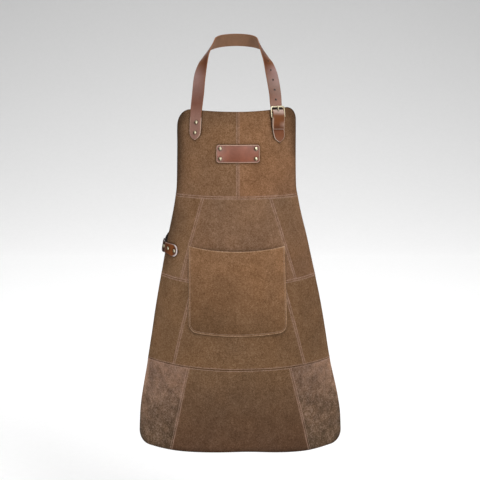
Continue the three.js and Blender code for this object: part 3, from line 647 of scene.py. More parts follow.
def pocket_lines():
    middle, half, r = POCKET["s"], POCKET["half_top"], POCKET["corner"]
    s = np.linspace(-half, half, 41)
    mouth = np.stack([middle + s, POCKET["top"] - POCKET["sag"] * (1 - (s / half) ** 2)], axis=1)
    x, up = POCKET["half_bottom"] - r, POCKET["bottom"] + r + POCKET["bottom_rise"]
    s = np.linspace(-x, x, 25)
    floor_line = np.stack([middle + s, POCKET["bottom"] + POCKET["bottom_rise"] * (s / x) ** 2], axis=1)
    corners = [
        corner_line((middle + side * x, up), r, r, a, b)
        for side, a, b in ((-1, 180, 225), (-1, 225, 270), (1, 270, 315), (1, 360, 315))
    ]
    low = np.concatenate([corners[1][:-1], floor_line, corners[2][1:]])
    return mouth, low, np.concatenate([mouth[:1], corners[0]]), np.concatenate([mouth[-1:], corners[3]])


def patch_lines():
    r = PATCH["corner"]
    x, y = PATCH["width"] / 2 - r, PATCH["height"] / 2 - r
    lines = []
    for first, second in (
        ((-1, 1, 135, 90), (1, 1, 90, 45)), ((-1, -1, 225, 270), (1, -1, 270, 315)),
        ((-1, 1, 135, 180), (-1, -1, 180, 225)), ((1, 1, 45, 0), (1, -1, 360, 315)),
    ):
        turns = [
            corner_line((PATCH["s"] + across * x, PATCH["z"] + up * y), r, r, a, b, 7)
            for across, up, a, b in (first, second)
        ]
        lines.append(np.concatenate(turns))
    return lines


# Suede panels: screen colours at the top and the foot, share of stain, how much lighter it gets to the right
TONES = {
    "bib_left": ((126, 95, 69), (126, 94, 68), 0.0, 0.0),
    "bib_right": ((140, 103, 73), (130, 94, 67), 0.0, -0.03),
    "centre_upper": ((127, 97, 73), (126, 95, 72), 0.0, -0.03),
    "side_upper_left": ((125, 94, 68), (127, 97, 70), 0.0, 0.0),
    "side_upper_right": ((123, 93, 68), (116, 86, 63), 0.0, 0.05),
    "centre_lower": ((116, 87, 62), (114, 86, 61), 0.0, -0.1),
    "side_lower_left": ((122, 92, 65), (120, 90, 63), 0.0, 0.0),
    "side_lower_right": ((114, 85, 60), (112, 84, 59), 0.0, 0.05),
    "hem_left": ((143, 112, 93), (121, 96, 76), 0.95, -0.24),
    "hem_centre": ((109, 83, 60), (88, 63, 46), 0.0, -0.05),
    "hem_right": ((128, 100, 82), (114, 90, 70), 0.95, 0.22),
    "pocket": ((134, 99, 70), (104, 77, 53), 0.0, 0.09),
}
# Shade along a panel's outer edge, by height: its depth and how far in it reaches
EDGES = {
    "bib_left": [(-375, 0.35, 12), (-300, 0.66, 21), (-250, 0.7, 22), (-165, 0.54, 21)],
    "bib_right": [(-375, 0.12, 6), (-290, 0.2, 8), (-255, 0.52, 16), (-215, 0.56, 34), (-165, 0.54, 38)],
    "side_upper_left": [
        (-560, 0.0, 20), (-535, 0.3, 34), (-480, 0.44, 30), (-430, 0.48, 22), (-375, 0.28, 12),
    ],
    "side_upper_right": [(-560, -0.05, 26), (-375, -0.1, 26)],
    "side_lower_left": [(-760, 0.14, 6), (-690, 0.26, 11), (-640, 0.2, 9), (-600, 0.0, 6)],
    "hem_left": [(-945, 0.42, 14), (-885, 0.28, 10), (-850, -0.2, 14), (-760, -0.2, 14)],
    "hem_right": [(-945, 0.36, 14), (-885, 0.28, 10), (-850, -0.28, 14), (-760, -0.14, 14)],
}
NO_EDGE = [(0, 0, 1)]
# Shade along a panel's unsewn top or bottom edge: its depth and reach
FREE_SHADE = {"b": (0.4, 8.0), "t": (0.12, 28.0)}
# Beside a seam: how light the rubbed leather is, how dark the join, and how much darker at the sides
SEAM_LOOKS = {
    "upright": (0.6, -0.1, 0.0), "waist": (0.58, -0.2, 0.3),
    "middle": (0.62, -0.15, 0.0), "low": (0.3, 0.42, 0.0),
}
# Puffed ridge beside a seam, with its distance and width, and the groove of the join
RIDGE, RIDGE_AT, RIDGE_WIDTH = 0.3, 2.2, 2.6
GROOVE, GROOVE_WIDTH = 0.34, 0.6
RUBBED_WIDTH, JOIN_WIDTH = 1.8, 0.7
# Seam allowance inside: its thickness, its reach and how softly it ends
ALLOWANCE, ALLOWANCE_REACH, ALLOWANCE_SOFT = 0.9, 8.0, 0.5
# Distances from the centre line between which the waist seam gets darker
SEAM_SIDES = (110.0, 150.0)
# Dark line along cut edges: depth and reach
CUT_SHADE, CUT_REACH = 0.3, 1.8
# Noise of rubbed seams, stained panels and their soil: weight, size, seed
RUBBED_NOISE = (0.5, 8, 15)
STAIN_NOISE = ((0.22, 24, 41), (0.22, 10, 43))
SOIL_NOISE = ((0.24, 42, 13), (0.2, 17, 17))
SEAM_LIGHT, POCKET_LIGHT, INSIDE = srgb(156, 124, 106), srgb(180, 146, 116), srgb(124, 97, 76)
# A light cast is warmer: change of red, green and blue
CAST, WARMTH = 0.1, np.array([0.025, 0.0, -0.04])
# Painted contact shade lies to the lower left, a little past the patch and below the pocket's mouth
CONTACT_SHIFT = 0.7
PATCH_SHADE_PAST, PATCH_SHADE_CORNER = 0.5, 5.0
MOUTH_SHADE_DROP = 2.0
EDGE_ROUND = 0.9


def seam_profile(d):
    return RIDGE * bell(d - RIDGE_AT, RIDGE_WIDTH) - GROOVE * bell(d, GROOVE_WIDTH)


def round_edge(d, depth):
    return depth * np.clip(1 - d / EDGE_ROUND, 0, 1) ** 2


def beyond_strap(over, along, rows):
    """Distance past a strap's edge, from rows of its place over and along the panel and its half width."""
    rows = np.array(rows)
    rows = rows[np.argsort(rows[:, 1])]
    middle, half = (np.interp(along, rows[:, 1], rows[:, k]) for k in (0, 2))
    return np.abs(over - middle) - half + np.maximum(rows[0, 1] - along, 0)


def beyond_box(s, z, middle, half_wide, low, high, corner):
    """Distance past the edge of an upright box with round corners."""
    wide = np.abs(s - middle) - half_wide + corner
    tall = np.abs(z - (low + high) / 2) - (high - low) / 2 + corner
    return np.hypot(np.maximum(wide, 0), np.maximum(tall, 0)) - corner


def painted_contact_shade(s, z):
    """Painted shade on the nap along whatever is riveted or sewn over it."""
    s, z = s + CONTACT_SHIFT, z + CONTACT_SHIFT
    wide, high = (PATCH[key] / 2 + PATCH_SHADE_PAST for key in ("width", "height"))
    patch_box = (PATCH["s"], wide, PATCH["z"] - high, PATCH["z"] + high, PATCH_SHADE_CORNER)
    mouth = POCKET["top"] - POCKET["sag"] - MOUTH_SHADE_DROP
    pocket_half = (POCKET["half_top"] + POCKET["half_bottom"]) / 2
    hip_rows = HIP_ON_PANEL[::2] + HIP_ON_PANEL[-1:]
    # Each shade's distance, depth and reach
    shades = (
        (beyond_strap(s, z, [(a, b, half) for a, b, _, half in STRAP_LEFT]), 0.7, 2.8),
        (beyond_strap(s, z, [(a, b, half) for a, b, _, half in TAB_BACK]), 0.78, 3.0),
        (beyond_strap(z, -s, [(b, -a, half) for a, b, _, half in hip_rows]), 0.86, 2.8),
        (beyond_box(s, z, *patch_box), 0.64, 2.6),
        (beyond_box(s, z, POCKET["s"], pocket_half, POCKET["bottom"], mouth, POCKET["corner"]), 0.42, 2.6),
    )
    return 1 - np.max([deep * near(past, reach) for past, deep, reach in shades], axis=0)


def nap_tone(name, s, z, across, seed, power=1.0):
    """Colour of a panel's nap. across goes from -1 at its left to 1 at its right."""
    top, foot, _, lean = TONES[name]
    tone = blend(srgb(*top), srgb(*foot), ramp(z, z.max(), z.min()) ** power) * (1 + lean * across)[:, None]
    cast = mottled(s, z, (0.6, 70, seed), (0.4, 31, seed + 2))[:, None]
    return tone * (1 + CAST * cast) * (1 + WARMTH * cast)


def suede_piece(name, solid, slot, tone, soil):
    points, faces, pattern, layer = solid
    shown = layer < 1
    tone = np.where(shown[:, None], tone[pattern], INSIDE)
    return piece(name + "_suede", points, faces, SUEDE, slot, [name], tone=tone, soil=soil[pattern] * shown)


def panel(name, lines, side, seams, slot):
    """One suede panel. seams gives the kind of seam on its sewn boundaries, of t, b, l and r."""
    grid, away = spread_sheet(*lines)
    s, z = side * grid[..., 0].ravel(), grid[..., 1].ravel()
    far = np.full(len(s), 99.0)
    sewn = np.minimum.reduce([away[k] for k in seams] + [far])
    free = np.minimum.reduce([away[k] for k in "tblr" if k not in seams] + [far])
    allowance = ALLOWANCE / (1 + np.exp((sewn - ALLOWANCE_REACH) / ALLOWANCE_SOFT))
    outer = seam_profile(sewn) - round_edge(free, 0.5)
    inner = -LEATHER - allowance + round_edge(free, 0.45)
    tone = nap_tone(name, s, z, 2 * (s - s.min()) / np.ptp(s) - 1, 7)
    for k, kind in seams.items():
        light, dark, sides = SEAM_LOOKS[kind]
        uneven = np.clip(0.8 + mottled(s, z, RUBBED_NOISE), 0, 1)
        rubbed = light * bell(away[k] - RIDGE_AT, RUBBED_WIDTH) * uneven
        dark = dark + sides * ramp(np.abs(s), *SEAM_SIDES)
        tone = blend(tone, SEAM_LIGHT, rubbed) * (1 - dark * bell(away[k], JOIN_WIDTH))[:, None]
    heights, depths, reaches = zip(*EDGES.get(name, NO_EDGE))
    shade = np.interp(z, heights, depths) * bell(away["r"], np.interp(z, heights, reaches))
    shade = shade + CUT_SHADE * near(free, CUT_REACH)
    for k, (deep, reach) in FREE_SHADE.items():
        if k not in seams:
            shade = shade + deep * bell(away[k], reach)
    stain = TONES[name][2]
    if stain:
        shade = shade - mottled(s, z, *STAIN_NOISE)
    # Painted shade along the edges, less the stain's mottle on stained panels, and painted contact shade
    # darken the tone
    tone = tone * ((1 - shade) * painted_contact_shade(s, z))[:, None]
    down = ramp(z, z.max(), z.min()) * 1.1 - 0.05
    soil = stain * np.clip(down + mottled(s, z, *SOIL_NOISE), 0.1, 1)
    return suede_piece(name, sheet_solid(grid, side, outer, inner), slot, tone, soil)


for side_name, side in SIDES:
    name, lines = "bib_" + side_name, bib_lines(side_name)
    panel(name, lines, side, {"b": "waist", "l": "upright"}, "suede")
for row, (top, bottom, _, _) in SKIRT.items():
    hem = row == "hem"
    seams = {"t": top, "l": "upright"} if hem else {"t": top, "b": bottom, "l": "upright"}
    name, lines = "hem_centre" if hem else "centre_" + row, centre_lines(row)
    slot = "dark_suede" if hem else "suede"
    panel(name, lines, 1, {**seams, "r": "upright"}, slot)
    for side_name, side in SIDES:
        name, lines = f"hem_{side_name}" if hem else f"side_{row}_{side_name}", side_lines(row)
        panel(name, lines, side, seams, "hem_suede" if hem else "suede")


# Patch pocket, flat at its sewn edges and slack at its mouth

# Row of stitches: its distance from the edge, depth and width of its dent. Rubbed edge: share and width.
POCKET_SEAM, POCKET_DENT, POCKET_DENT_WIDTH = 4.2, 0.3, 1.1
POCKET_RUB, POCKET_RUB_WIDTH = 0.9, 1.7
# Darker lower left of the pocket: place and reach
POCKET_DARK = {"s": -70.0, "z": -655.0, "wide": 45.0, "tall": 35.0, "deep": 0.15}


def pocket_lift(s, z):
    """Lift of the pocket's inner face."""
    opening = np.clip((z - POCKET["bottom"]) / (POCKET["top"] - POCKET["bottom"]), 0, None)
    middle = np.clip(1 - ((s - POCKET["s"]) / POCKET["half_top"]) ** 2, 0, None)
    return GAP + POCKET["slack"] * (middle * opening) ** 1.5


def pocket():
    grid, away = spread_sheet(*pocket_lines())
    s, z = grid[..., 0].ravel(), grid[..., 1].ravel()
    sewn = np.minimum.reduce([away[k] for k in "blr"])
    edge = np.minimum(sewn, away["t"])
    inner = pocket_lift(s, z)
    dent = POCKET_DENT * bell(sewn - POCKET_SEAM, POCKET_DENT_WIDTH)
    outer = inner + LEATHER - round_edge(edge, 0.5) - dent
    tone = nap_tone("pocket", s, z, (s - POCKET["s"]) / POCKET["half_top"], 21, 1.8)
    dark = bell(s - POCKET_DARK["s"], POCKET_DARK["wide"]) * bell(z - POCKET_DARK["z"], POCKET_DARK["tall"])
    tone = tone * (1 - POCKET_DARK["deep"] * dark)[:, None]
    tone = blend(tone, POCKET_LIGHT, POCKET_RUB * bell(edge, POCKET_RUB_WIDTH))
    solid = sheet_solid(grid, 1, outer, inner + round_edge(edge, 0.3))
    return suede_piece("pocket", solid, "suede", tone, np.zeros(len(s)))


pocket()


# Stitching

STITCH = {"pitch": 3.4, "long": 2.75, "thick": 0.4, "loose": 0.12, "sides": 6, "seed": 11}
# Rings of a stitch: place along it, rise, share of its thickness
STITCH_RINGS = np.array([
    (0.0, -0.3, 0.6), (0.2, 0.08, 0.92), (0.5, 0.2, 1.0), (0.8, 0.08, 0.92), (1.0, -0.3, 0.6),
])
# A row's distance from its seam, its lift on the face and inside, and half of the bib row's gap at the patch
SEAM_ROW = 2.5
ROW_LIFT, INSIDE_ROW_LIFT = 0.1, -LEATHER - 0.95
PATCH_CLEAR = 24.5


def offset_line(line, distance, trim):
    """Line moved sideways in the pattern, with its ends cut back."""
    run = unit(np.gradient(line, axis=0))
    moved = line + distance * np.stack([-run[:, 1], run[:, 0]], axis=1)
    cut = trim / length_of(moved)
    return walk(moved, np.linspace(cut, 1 - cut, 80))


def stitch_row(line, lift, turned=1):
    """Thread stitches along a pattern line: points and faces. turned is -1 on the inside."""
    rng = np.random.default_rng(STITCH["seed"])
    long, sides = STITCH["long"], STITCH["sides"]
    share, rise, size = STITCH_RINGS.T
    length = length_of(line)
    count = max(1, int(length // STITCH["pitch"]))
    start = (np.arange(count) + 0.5) * length / count - long / 2
    start = start + rng.uniform(-STITCH["loose"], STITCH["loose"], count)
    spot = walk(line, np.clip((start[:, None] + share * long) / length, 0, 1))
    s, z = spot[..., 0], spot[..., 1]
    out = outward(s[:, 2], z[:, 2])[:, None] * turned
    base = on_body(s, z, lift(s, z) if callable(lift) else lift) + out * rise[:, None]
    run = unit(base[:, -1] - base[:, 0])[:, None]
    ring = circle(unit(np.cross(out, run)), out, sides)
    points = base[:, :, None] + ring * (size * STITCH["thick"])[:, None, None]
    faces = tube_faces(len(share), sides) + cap_faces(len(share), sides)
    return joined([(stitch.reshape(-1, 3), faces) for stitch in points])


def stitching(name, rows):
    """One piece of thread from several rows."""
    piece(name + "_stitches", *joined([stitch_row(*row) for row in rows]), THREAD, "suede")


def seam_rows(line, trim=3.0):
    """Rows of stitches on both sides of a seam, on the face and on the inside."""
    rows = []
    for away in (-SEAM_ROW, SEAM_ROW):
        row = offset_line(line, away, trim)
        rows += [(row, float(seam_profile(SEAM_ROW)) + ROW_LIFT), (row, INSIDE_ROW_LIFT, -1)]
    return rows


def straight_rows(a, b, trim=3.0):
    return seam_rows(np.linspace(a, b, 60), trim)


def cross_rows(seam, half):
    return seam_rows(seam_line(seam, -half, half, count=90), 1.0)


def pocket_face(s, z):
    return pocket_lift(s, z) + LEATHER - 0.2


waist = SEAMS["waist"][0]
bib_rows = straight_rows((BIB_SEAM, BIB_TOP), (BIB_SEAM, PATCH["z"] + PATCH_CLEAR), 1.0)
bib_rows += straight_rows((BIB_SEAM, PATCH["z"] - PATCH_CLEAR), (BIB_SEAM, waist))
stitching("bib", bib_rows + cross_rows("waist", half_width(waist)))
for row, (top, bottom, half_top, half_bottom) in SKIRT.items():
    rows = []
    for _, side in SIDES:
        upper = (side * half_top, float(seam_height(top, half_top)))
        lower = (side * half_bottom, float(seam_height(bottom, half_bottom)))
        rows += straight_rows(upper, lower)
    if bottom != "hem":
        rows += cross_rows(bottom, half_width(seam_height(bottom, 205)))
    stitching(row, rows)
_, low, left, right = pocket_lines()
even = np.linspace(0, 1, 240)
around = walk(np.concatenate([left, low[1:], right[::-1][1:]]), even)
stitching("pocket", [(walk(offset_line(around, POCKET_SEAM, 3.0), even), pocket_face)])


# Straps

# Shares of a strap's half width at which its faces have points. Holes lie between two of them.
STRAP_COLUMNS = (-1, -0.93, -0.8, -0.5, -0.2, -0.108, -0.054, 0.0, 0.054, 0.108, 0.2, 0.5, 0.8, 0.93, 1)
HOLE_COLUMNS = (5, 9)
BEVEL = 0.7
CROWN = 0.12
HOLE_SHADE = 0.85
# Painted shade in a ring round a rivet: depth, radius and reach
RIVET_SHADE = (0.55, 4.4, 1.2)
FLESH = srgb(132, 98, 74)


def smooth_line(points, steps, centripetal):
    """Smooth curve through the points, with that many steps between two of them."""
    first, last = 2 * points[0] - points[1], 2 * points[-1] - points[-2]
    p = np.concatenate([[first], points, [last]])
    t = (np.arange(steps) / steps)[:, None]
    made = []
    for p0, p1, p2, p3 in zip(p, p[1:], p[2:], p[3:]):
        if centripetal:
            d0, d1, d2 = (max(np.linalg.norm(b - a) ** 0.5, 1e-4) for a, b in ((p0, p1), (p1, p2), (p2, p3)))
            m1 = ((p1 - p0) / d0 - (p2 - p0) / (d0 + d1) + (p2 - p1) / d1) * d1
            m2 = ((p2 - p1) / d1 - (p3 - p1) / (d1 + d2) + (p3 - p2) / d2) * d1
        else:
            m1, m2 = (p2 - p0) / 2, (p3 - p1) / 2
        made.append(p1 + m1 * t + (3 * (p2 - p1) - 2 * m1 - m2) * t ** 2 + (2 * (p1 - p2) + m1 + m2) * t ** 3)
    return np.concatenate(made + [points[-1:]])


def strap_frames(stations, spacing, openings=()):
    """Frames along a strap's stations: place, width, face and run directions, half width, length walked.
    openings are the middles and half lengths of holes, which get rings of their own."""
    places, widths, halves = zip(*stations)
    steps = 24
    route = smooth_line(np.array(places), steps, True)
    turning = smooth_line(np.array([unit(np.array(x)) for x in widths]), steps, False)
    half = monotone(np.arange(len(halves)) * 1.0, np.array(halves, float), np.arange(len(route)) / steps)
    walked = steps_of(route)
    even = np.linspace(0, walked[-1], max(2, int(round(walked[-1] / spacing))) + 1)
    for middle, reach in openings:
        clear = np.abs(even - middle) > reach + 0.5
        even = np.sort(np.concatenate([even[clear], middle + reach * np.linspace(-1, 1, 5)]))
    place = along_line(even, walked, route)
    run = unit(np.gradient(place, axis=0))
    wide = along_line(even, walked, turning)
    wide = unit(wide - (wide * run).sum(-1, keepdims=True) * run)
    half = np.interp(even, walked, half)
    face = np.cross(wide, run)
    return {"at": place, "run": run, "across": wide, "face": face, "half": half, "walked": even}


def strap_section():
    """Outline of a strap cut across. Columns: share of the flat half width, share of the bevel sideways,
    share of the flat half thickness, share of the bevel outwards, edge, flesh side."""
    turns = [math.radians(turn) for turn in (60, 30, 0, -30, -60)]
    rows = [(a, 0, 1, 1, 0.75 if abs(a) == 1 else 0.0, 0) for a in STRAP_COLUMNS]
    rows += [(1, math.cos(t), 1 if t >= 0 else -1, math.sin(t), 1, 0) for t in turns]
    rows += [(a, 0, -1, -1, 0.6 if abs(a) == 1 else 0.0, 1) for a in STRAP_COLUMNS[::-1]]
    rows += [(-1, -math.cos(t), 1 if t >= 0 else -1, math.sin(t), 1, 0) for t in turns[::-1]]
    return np.array(rows, float)


def strap_mesh(frames, thickness, holes=()):
    """Points and faces of a strap with round edges, and marks: each point's edge, flesh side, hole rim, place
    over the width and walked length. A hole has its first and last ring, and for each face its middle, half
    length and half width. With no half length its sides are straight."""
    table = strap_section()
    count = len(table)
    over, sideways, level, outwards, edge, flesh = table.T
    flat = np.maximum(frames["half"] - BEVEL, 0.15)
    half_thick = thickness / 2
    aside = over * flat[:, None] + sideways * BEVEL
    out = level * (half_thick - BEVEL) + outwards * BEVEL + CROWN * (1 - over ** 2) * (1 - flesh)
    axes = ("at", "across", "face")
    at, across, face = (frames[key][:, None] for key in axes)
    rings = [at + aside[..., None] * across + out[..., None] * face]
    for k, sign in ((0, -1), (-1, 1)):
        middle = frames["at"][k] + sign * frames["run"][k] * BEVEL * 0.6
        a = over * np.maximum(flat[k] - 0.35 * BEVEL, 0.1) + sideways * BEVEL * 0.55
        o = level * (half_thick - BEVEL) + outwards * BEVEL * 0.5
        end = middle + a[:, None] * frames["across"][k] + o[:, None] * frames["face"][k]
        rings.insert(0 if sign < 0 else len(rings), end[None])
    rings = np.concatenate(rings)
    n = len(rings)
    marks = {"edge": edge, "flesh": flesh, "rim": np.zeros(count), "over": over}
    marks = {key: np.tile(row, (n, 1)) for key, row in marks.items()}
    marks["edge"][[0, -1]] = 1
    marks["edge"][[1, -2]] = np.maximum(marks["edge"][[1, -2]], 0.4)
    marks["walked"] = np.repeat(np.pad(frames["walked"], 1, "edge")[:, None], count, axis=1)
    whole = np.ones((n - 1, count), bool)
    walls = []
    a, b = HOLE_COLUMNS
    behind = 2 * len(STRAP_COLUMNS) + 4
    for first, last, front, back in holes:
        first, last = first + 1, last + 1
        loop = [(first, c) for c in range(a, b)] + [(r, b) for r in range(first, last)]
        loop += [(last, c) for c in range(b, a, -1)] + [(r, a) for r in range(last, first, -1)]
        whole[first:last, a:b] = False
        whole[first:last, behind - b:behind - a] = False
        for r, c in loop:
            u, v = (2 * c - a - b) / (b - a), (2 * r - first - last) / (last - first)
            size = math.hypot(u, v)
            both = ((c, front, half_thick + CROWN), (behind - c, back, -half_thick))
            for place, (middle, long, wide), lift in both:
                u1, at = (u / size, middle + long * v / size) if long else (u, frames["walked"][r - 1])
                spot, aside, face = (along_line(at, frames["walked"], frames[key]) for key in axes)
                rings[r, place] = spot + wide * u1 * aside + lift * face
                marks["rim"][r, place] = 1
        for (r, c), (r1, c1) in zip(loop, loop[1:] + loop[:1]):
            walls.append([r * count + c, r1 * count + c1, r1 * count + behind - c1, r * count + behind - c])
    faces = np.array(tube_faces(n, count))[whole.ravel()].tolist() + walls + cap_faces(n, count)
    used = np.unique(np.concatenate(faces))
    renumbered = np.zeros(n * count, int)
    renumbered[used] = np.arange(len(used))
    faces = [renumbered[face].tolist() for face in faces]
    return rings.reshape(-1, 3)[used], faces, {key: x.ravel()[used] for key, x in marks.items()}


def strap_piece(node, made, material, face, raw, flesh, edge=None, shade=1.0):
    """Strap that stands for a node, with colours of its face, cut edge and flesh side."""
    points, faces, marks = made
    tone = blend(face, flesh, marks["flesh"])
    tone = blend(tone, raw, marks["edge"] if edge is None else edge)
    tone = tone * (shade * (1 - HOLE_SHADE * marks["rim"]))[:, None]
    rough = np.maximum(marks["edge"], marks["flesh"])
    piece(node + "_leather", points, faces, material, "strap_leather", [node], tone=tone, raw=rough)


def on_panel(rows, level=None):
    """Stations of a strap that lies on the panels, from rows of s, z, lift and half width.
    level is the sign of its width along the section, and with none its width stands upright."""
    made = []
    for s, z, lift, half in rows:
        across = along_height(s, z) if level is None else level * along_section(s, z)
        made.append((on_body(s, z, lift), across, half))
    return made


def toned(at, table):
    """Colours of a table of places and screen colours, at each place."""
    places, colours = zip(*sorted(table))
    return along_line(at, places, [srgb(*colour) for colour in colours])


def painted_rivet_shade(points, places, lift):
    """Painted shade on leather round the rivets that go through it."""
    spots = [np.linalg.norm(points - above(s, z, lift), axis=1) for s, z in places]
    deep, radius, reach = RIVET_SHADE
    return 1 - deep * near(np.min(spots, axis=0) - radius, reach)


# Buckle: bars at the toe and the heel of its frame as z and lift, wire radius, half width, corner radius
BUCKLE = {"s": 97.0, "toe": (-155.0, 7.0), "heel": (-180.0, 5.2), "wire": 1.8, "half": 17.2, "corner": 4.0}
BUCKLE_SIDES = 14
toe = on_body(BUCKLE["s"], *BUCKLE["toe"])
heel = on_body(BUCKLE["s"], *BUCKLE["heel"])
buckle_across = along_section(BUCKLE["s"], (BUCKLE["toe"][0] + BUCKLE["heel"][0]) / 2)
down = heel - toe
down = down - (down @ buckle_across) * buckle_across
buckle_length = float(np.linalg.norm(down))
buckle_down = unit(down)
buckle_out = np.cross(buckle_down, buckle_across)
heel_bar = toe + buckle_down * buckle_length


def on_buckle(u, v, out=0.0):
    return toe + u * buckle_across + v * buckle_down + out * buckle_out


# Prong: ends of its bar, half width of the hole that it goes through at a slant
PRONG_FROM = on_buckle(0, buckle_length - 1.5, 2.3)
PRONG_TO = on_buckle(0, -2.4, 3.6)
PRONG_HOLE = 1.7

neck_stations = on_panel(STRAP_LEFT, 1)
neck_stations += [(at, across, STRAP_HALF) for at, across in STRAP_ROUND]
neck_stations += on_panel(STRAP_RIGHT, -1)
NECK_SPACING = 1.8
neck = strap_frames(neck_stations, NECK_SPACING)
neck_length = neck["walked"][-1]


def prong_crossing(lift):
    """Length walked along the strap to where the prong's axis is at that lift from the strap's middle."""
    spots = PRONG_FROM + np.linspace(0, 1, 400)[:, None] * (PRONG_TO - PRONG_FROM)
    ring = np.linalg.norm(spots[:, None] - neck["at"][None], axis=-1).argmin(axis=1)
    offset = spots - neck["at"][ring]
    lifts = (offset * neck["face"][ring]).sum(-1)
    walked = neck["walked"][ring] + (offset * neck["run"][ring]).sum(-1)
    return float(walked[np.argmin(np.abs(lifts - lift))])


def hole_places():
    """Middle, half length and half width of each hole of the neck strap, on its face and its flesh side."""
    places = []
    for n in range(HOLE["count"]):
        middle = neck_length - HOLE["from_end"] - n * HOLE["pitch"]
        places.append([(middle, size, size) for size in (HOLE["front"], HOLE["back"])])
    crossings = [prong_crossing(lift) for lift in (STRAP_THICK / 2, -STRAP_THICK / 2)]
    long = math.hypot(PRONG_HOLE, PRONG_HOLE * (crossings[1] - crossings[0]) / STRAP_THICK)
    return places + [[(middle, long, PRONG_HOLE) for middle in crossings]]


# Zones of the strap leather, with painted sheen: pale sheen where it lies flat, darker with less sheen in its
# bend, sheen on the shoulder, deep brown at the neck
PALE_SHEEN, LOW_SHEEN, SHOULDER_SHEEN, DEEP = (150, 110, 96), (119, 76, 61), (141, 107, 98), (108, 63, 36)
SHADOW, HUMP_HIGHLIGHT, TAN, DARK_TAN = (30, 17, 10), (178, 150, 138), (116, 66, 31), (92, 50, 24)
# The left and right sides by height
LEFT_TONES = [(-182, PALE_SHEEN), (-148, LOW_SHEEN), (-85, SHOULDER_SHEEN), (-55, DEEP)]
RIGHT_TONES = [(-157, PALE_SHEEN), (-115, (122, 87, 71)), (-84, SHOULDER_SHEEN), (-70, SHOULDER_SHEEN), (-55, DEEP)]
# The tail by distance from its end: painted shadow under the toe bar, painted highlight on the hump, tan
# face, dark end
TAIL = 59
TAIL_TONES = [
    (TAIL, PALE_SHEEN), (57, SHADOW), (48.6, SHADOW), (46.5, HUMP_HIGHLIGHT), (40, HUMP_HIGHLIGHT), (32, TAN), (14, TAN),
    (4, DARK_TAN),
]
GLINT, NECK_RAW, BIB_RAW = srgb(168, 140, 124), srgb(134, 88, 58), srgb(196, 166, 146)
# Painted shade across the strap's width: one side lighter and the other darker, less in red than in blue
ACROSS_SHADE, ACROSS_SHADE_TINT = 0.45, np.array([0.6, 1.0, 1.35])
# Heights between which that painted shade begins on each side, and the height below which the cut edge is
# pale
LEFT_SHADE_RISE, RIGHT_SHADE_RISE, PALE_EDGE = (-150, -60), (-145, -117), -180
# Light on the tail's inner side: share, distance from its end, width
TAIL_GLINT, TAIL_GLINT_AT, TAIL_GLINT_WIDTH = 0.7, 11, 6


def neck_strap():
    places = hole_places()
    openings = []
    for front, back in places:
        reach = max(front[1], back[1]) + abs(front[0] - back[0]) / 2
        openings.append(((front[0] + back[0]) / 2, reach))
    frames = strap_frames(neck_stations, NECK_SPACING, openings)
    holes = []
    for (middle, reach), (front, back) in zip(openings, places):
        ends = (middle - reach, middle + reach)
        first, last = (int(np.argmin(np.abs(frames["walked"] - at))) for at in ends)
        holes.append((first, last, front, back))
    made = strap_mesh(frames, STRAP_THICK, holes)
    points, _, marks = made
    x, z = points[:, 0], points[:, 2]
    face = np.where(x[:, None] < 0, toned(z, LEFT_TONES), toned(z, RIGHT_TONES))
    # Painted shade across the width, growing towards the shoulder
    tone_shift = ACROSS_SHADE * np.where(x < 0, ramp(z, *LEFT_SHADE_RISE), ramp(z, *RIGHT_SHADE_RISE))
    face = face * (1 - (marks["over"] * tone_shift)[:, None] * ACROSS_SHADE_TINT)
    from_end = neck_length - marks["walked"]
    glint = TAIL_GLINT * bell(from_end - TAIL_GLINT_AT, TAIL_GLINT_WIDTH) * np.clip(-marks["over"], 0, 1)
    face = np.where(from_end[:, None] < TAIL, blend(toned(from_end, TAIL_TONES), GLINT, glint), face)
    raw = np.where(z[:, None] < PALE_EDGE, BIB_RAW, NECK_RAW)
    shade = painted_rivet_shade(points, STRAP_RIVETS, GAP + STRAP_THICK)
    strap_piece("neck_strap", made, STRAP, face, raw, FLESH, shade=shade)


# Tones of the tab from its point to the buckle
TAB_TONES = [(0, (128, 86, 64)), (14, (124, 74, 46)), (30, (112, 62, 34))]
TAB_RAW = srgb(206, 182, 164)


def buckle_tab():
    """Tab that goes round the buckle's heel bar, with a slot for the prong."""
    heel_up, heel_out = (way(BUCKLE["s"], BUCKLE["heel"][0]) for way in (along_height, outward))
    fold = []
    for turn in np.radians(np.arange(-25, 186, 30)):
        around = math.sin(turn) * heel_up - math.cos(turn) * heel_out
        fold.append((heel_bar + TAB_FOLD * around, buckle_across, TAB_NECK))
    frames = strap_frames(on_panel(TAB_BACK, 1) + fold + on_panel(TAB_FRONT, 1), 1.2)
    rings = np.nonzero(np.linalg.norm(frames["at"] - heel_bar, axis=1) < TAB_SLOT_REACH)[0]
    slot = (0.0, 0.0, TAB_SLOT_HALF)
    made = strap_mesh(frames, TAB_THICK, [(rings[0], rings[-1], slot, slot)])
    strap_piece("buckle_tab", made, STRAP, toned(made[2]["walked"], TAB_TONES), TAB_RAW, FLESH)


# Tones of the hip tab's face and cut edge from its front end, with painted shade beside the front end and
# past the fold, where the tab turns away from the light, and a painted highlight on the fold; and its rubbed
# front end
HIP_TONES = [
    (8, DARK_TAN), (15, (130, 72, 30)), (40, DARK_TAN), (41.5, (110, 80, 65)), (43.2, (110, 80, 65)),
    (44.6, (54, 27, 13)),
]
HIP_RAW = [
    (0, (228, 214, 212)), (16, (206, 188, 182)), (22, (168, 140, 128)), (43, (168, 142, 132)),
    (47, (56, 34, 24)),
]
HIP_FLESH = srgb(60, 42, 32)
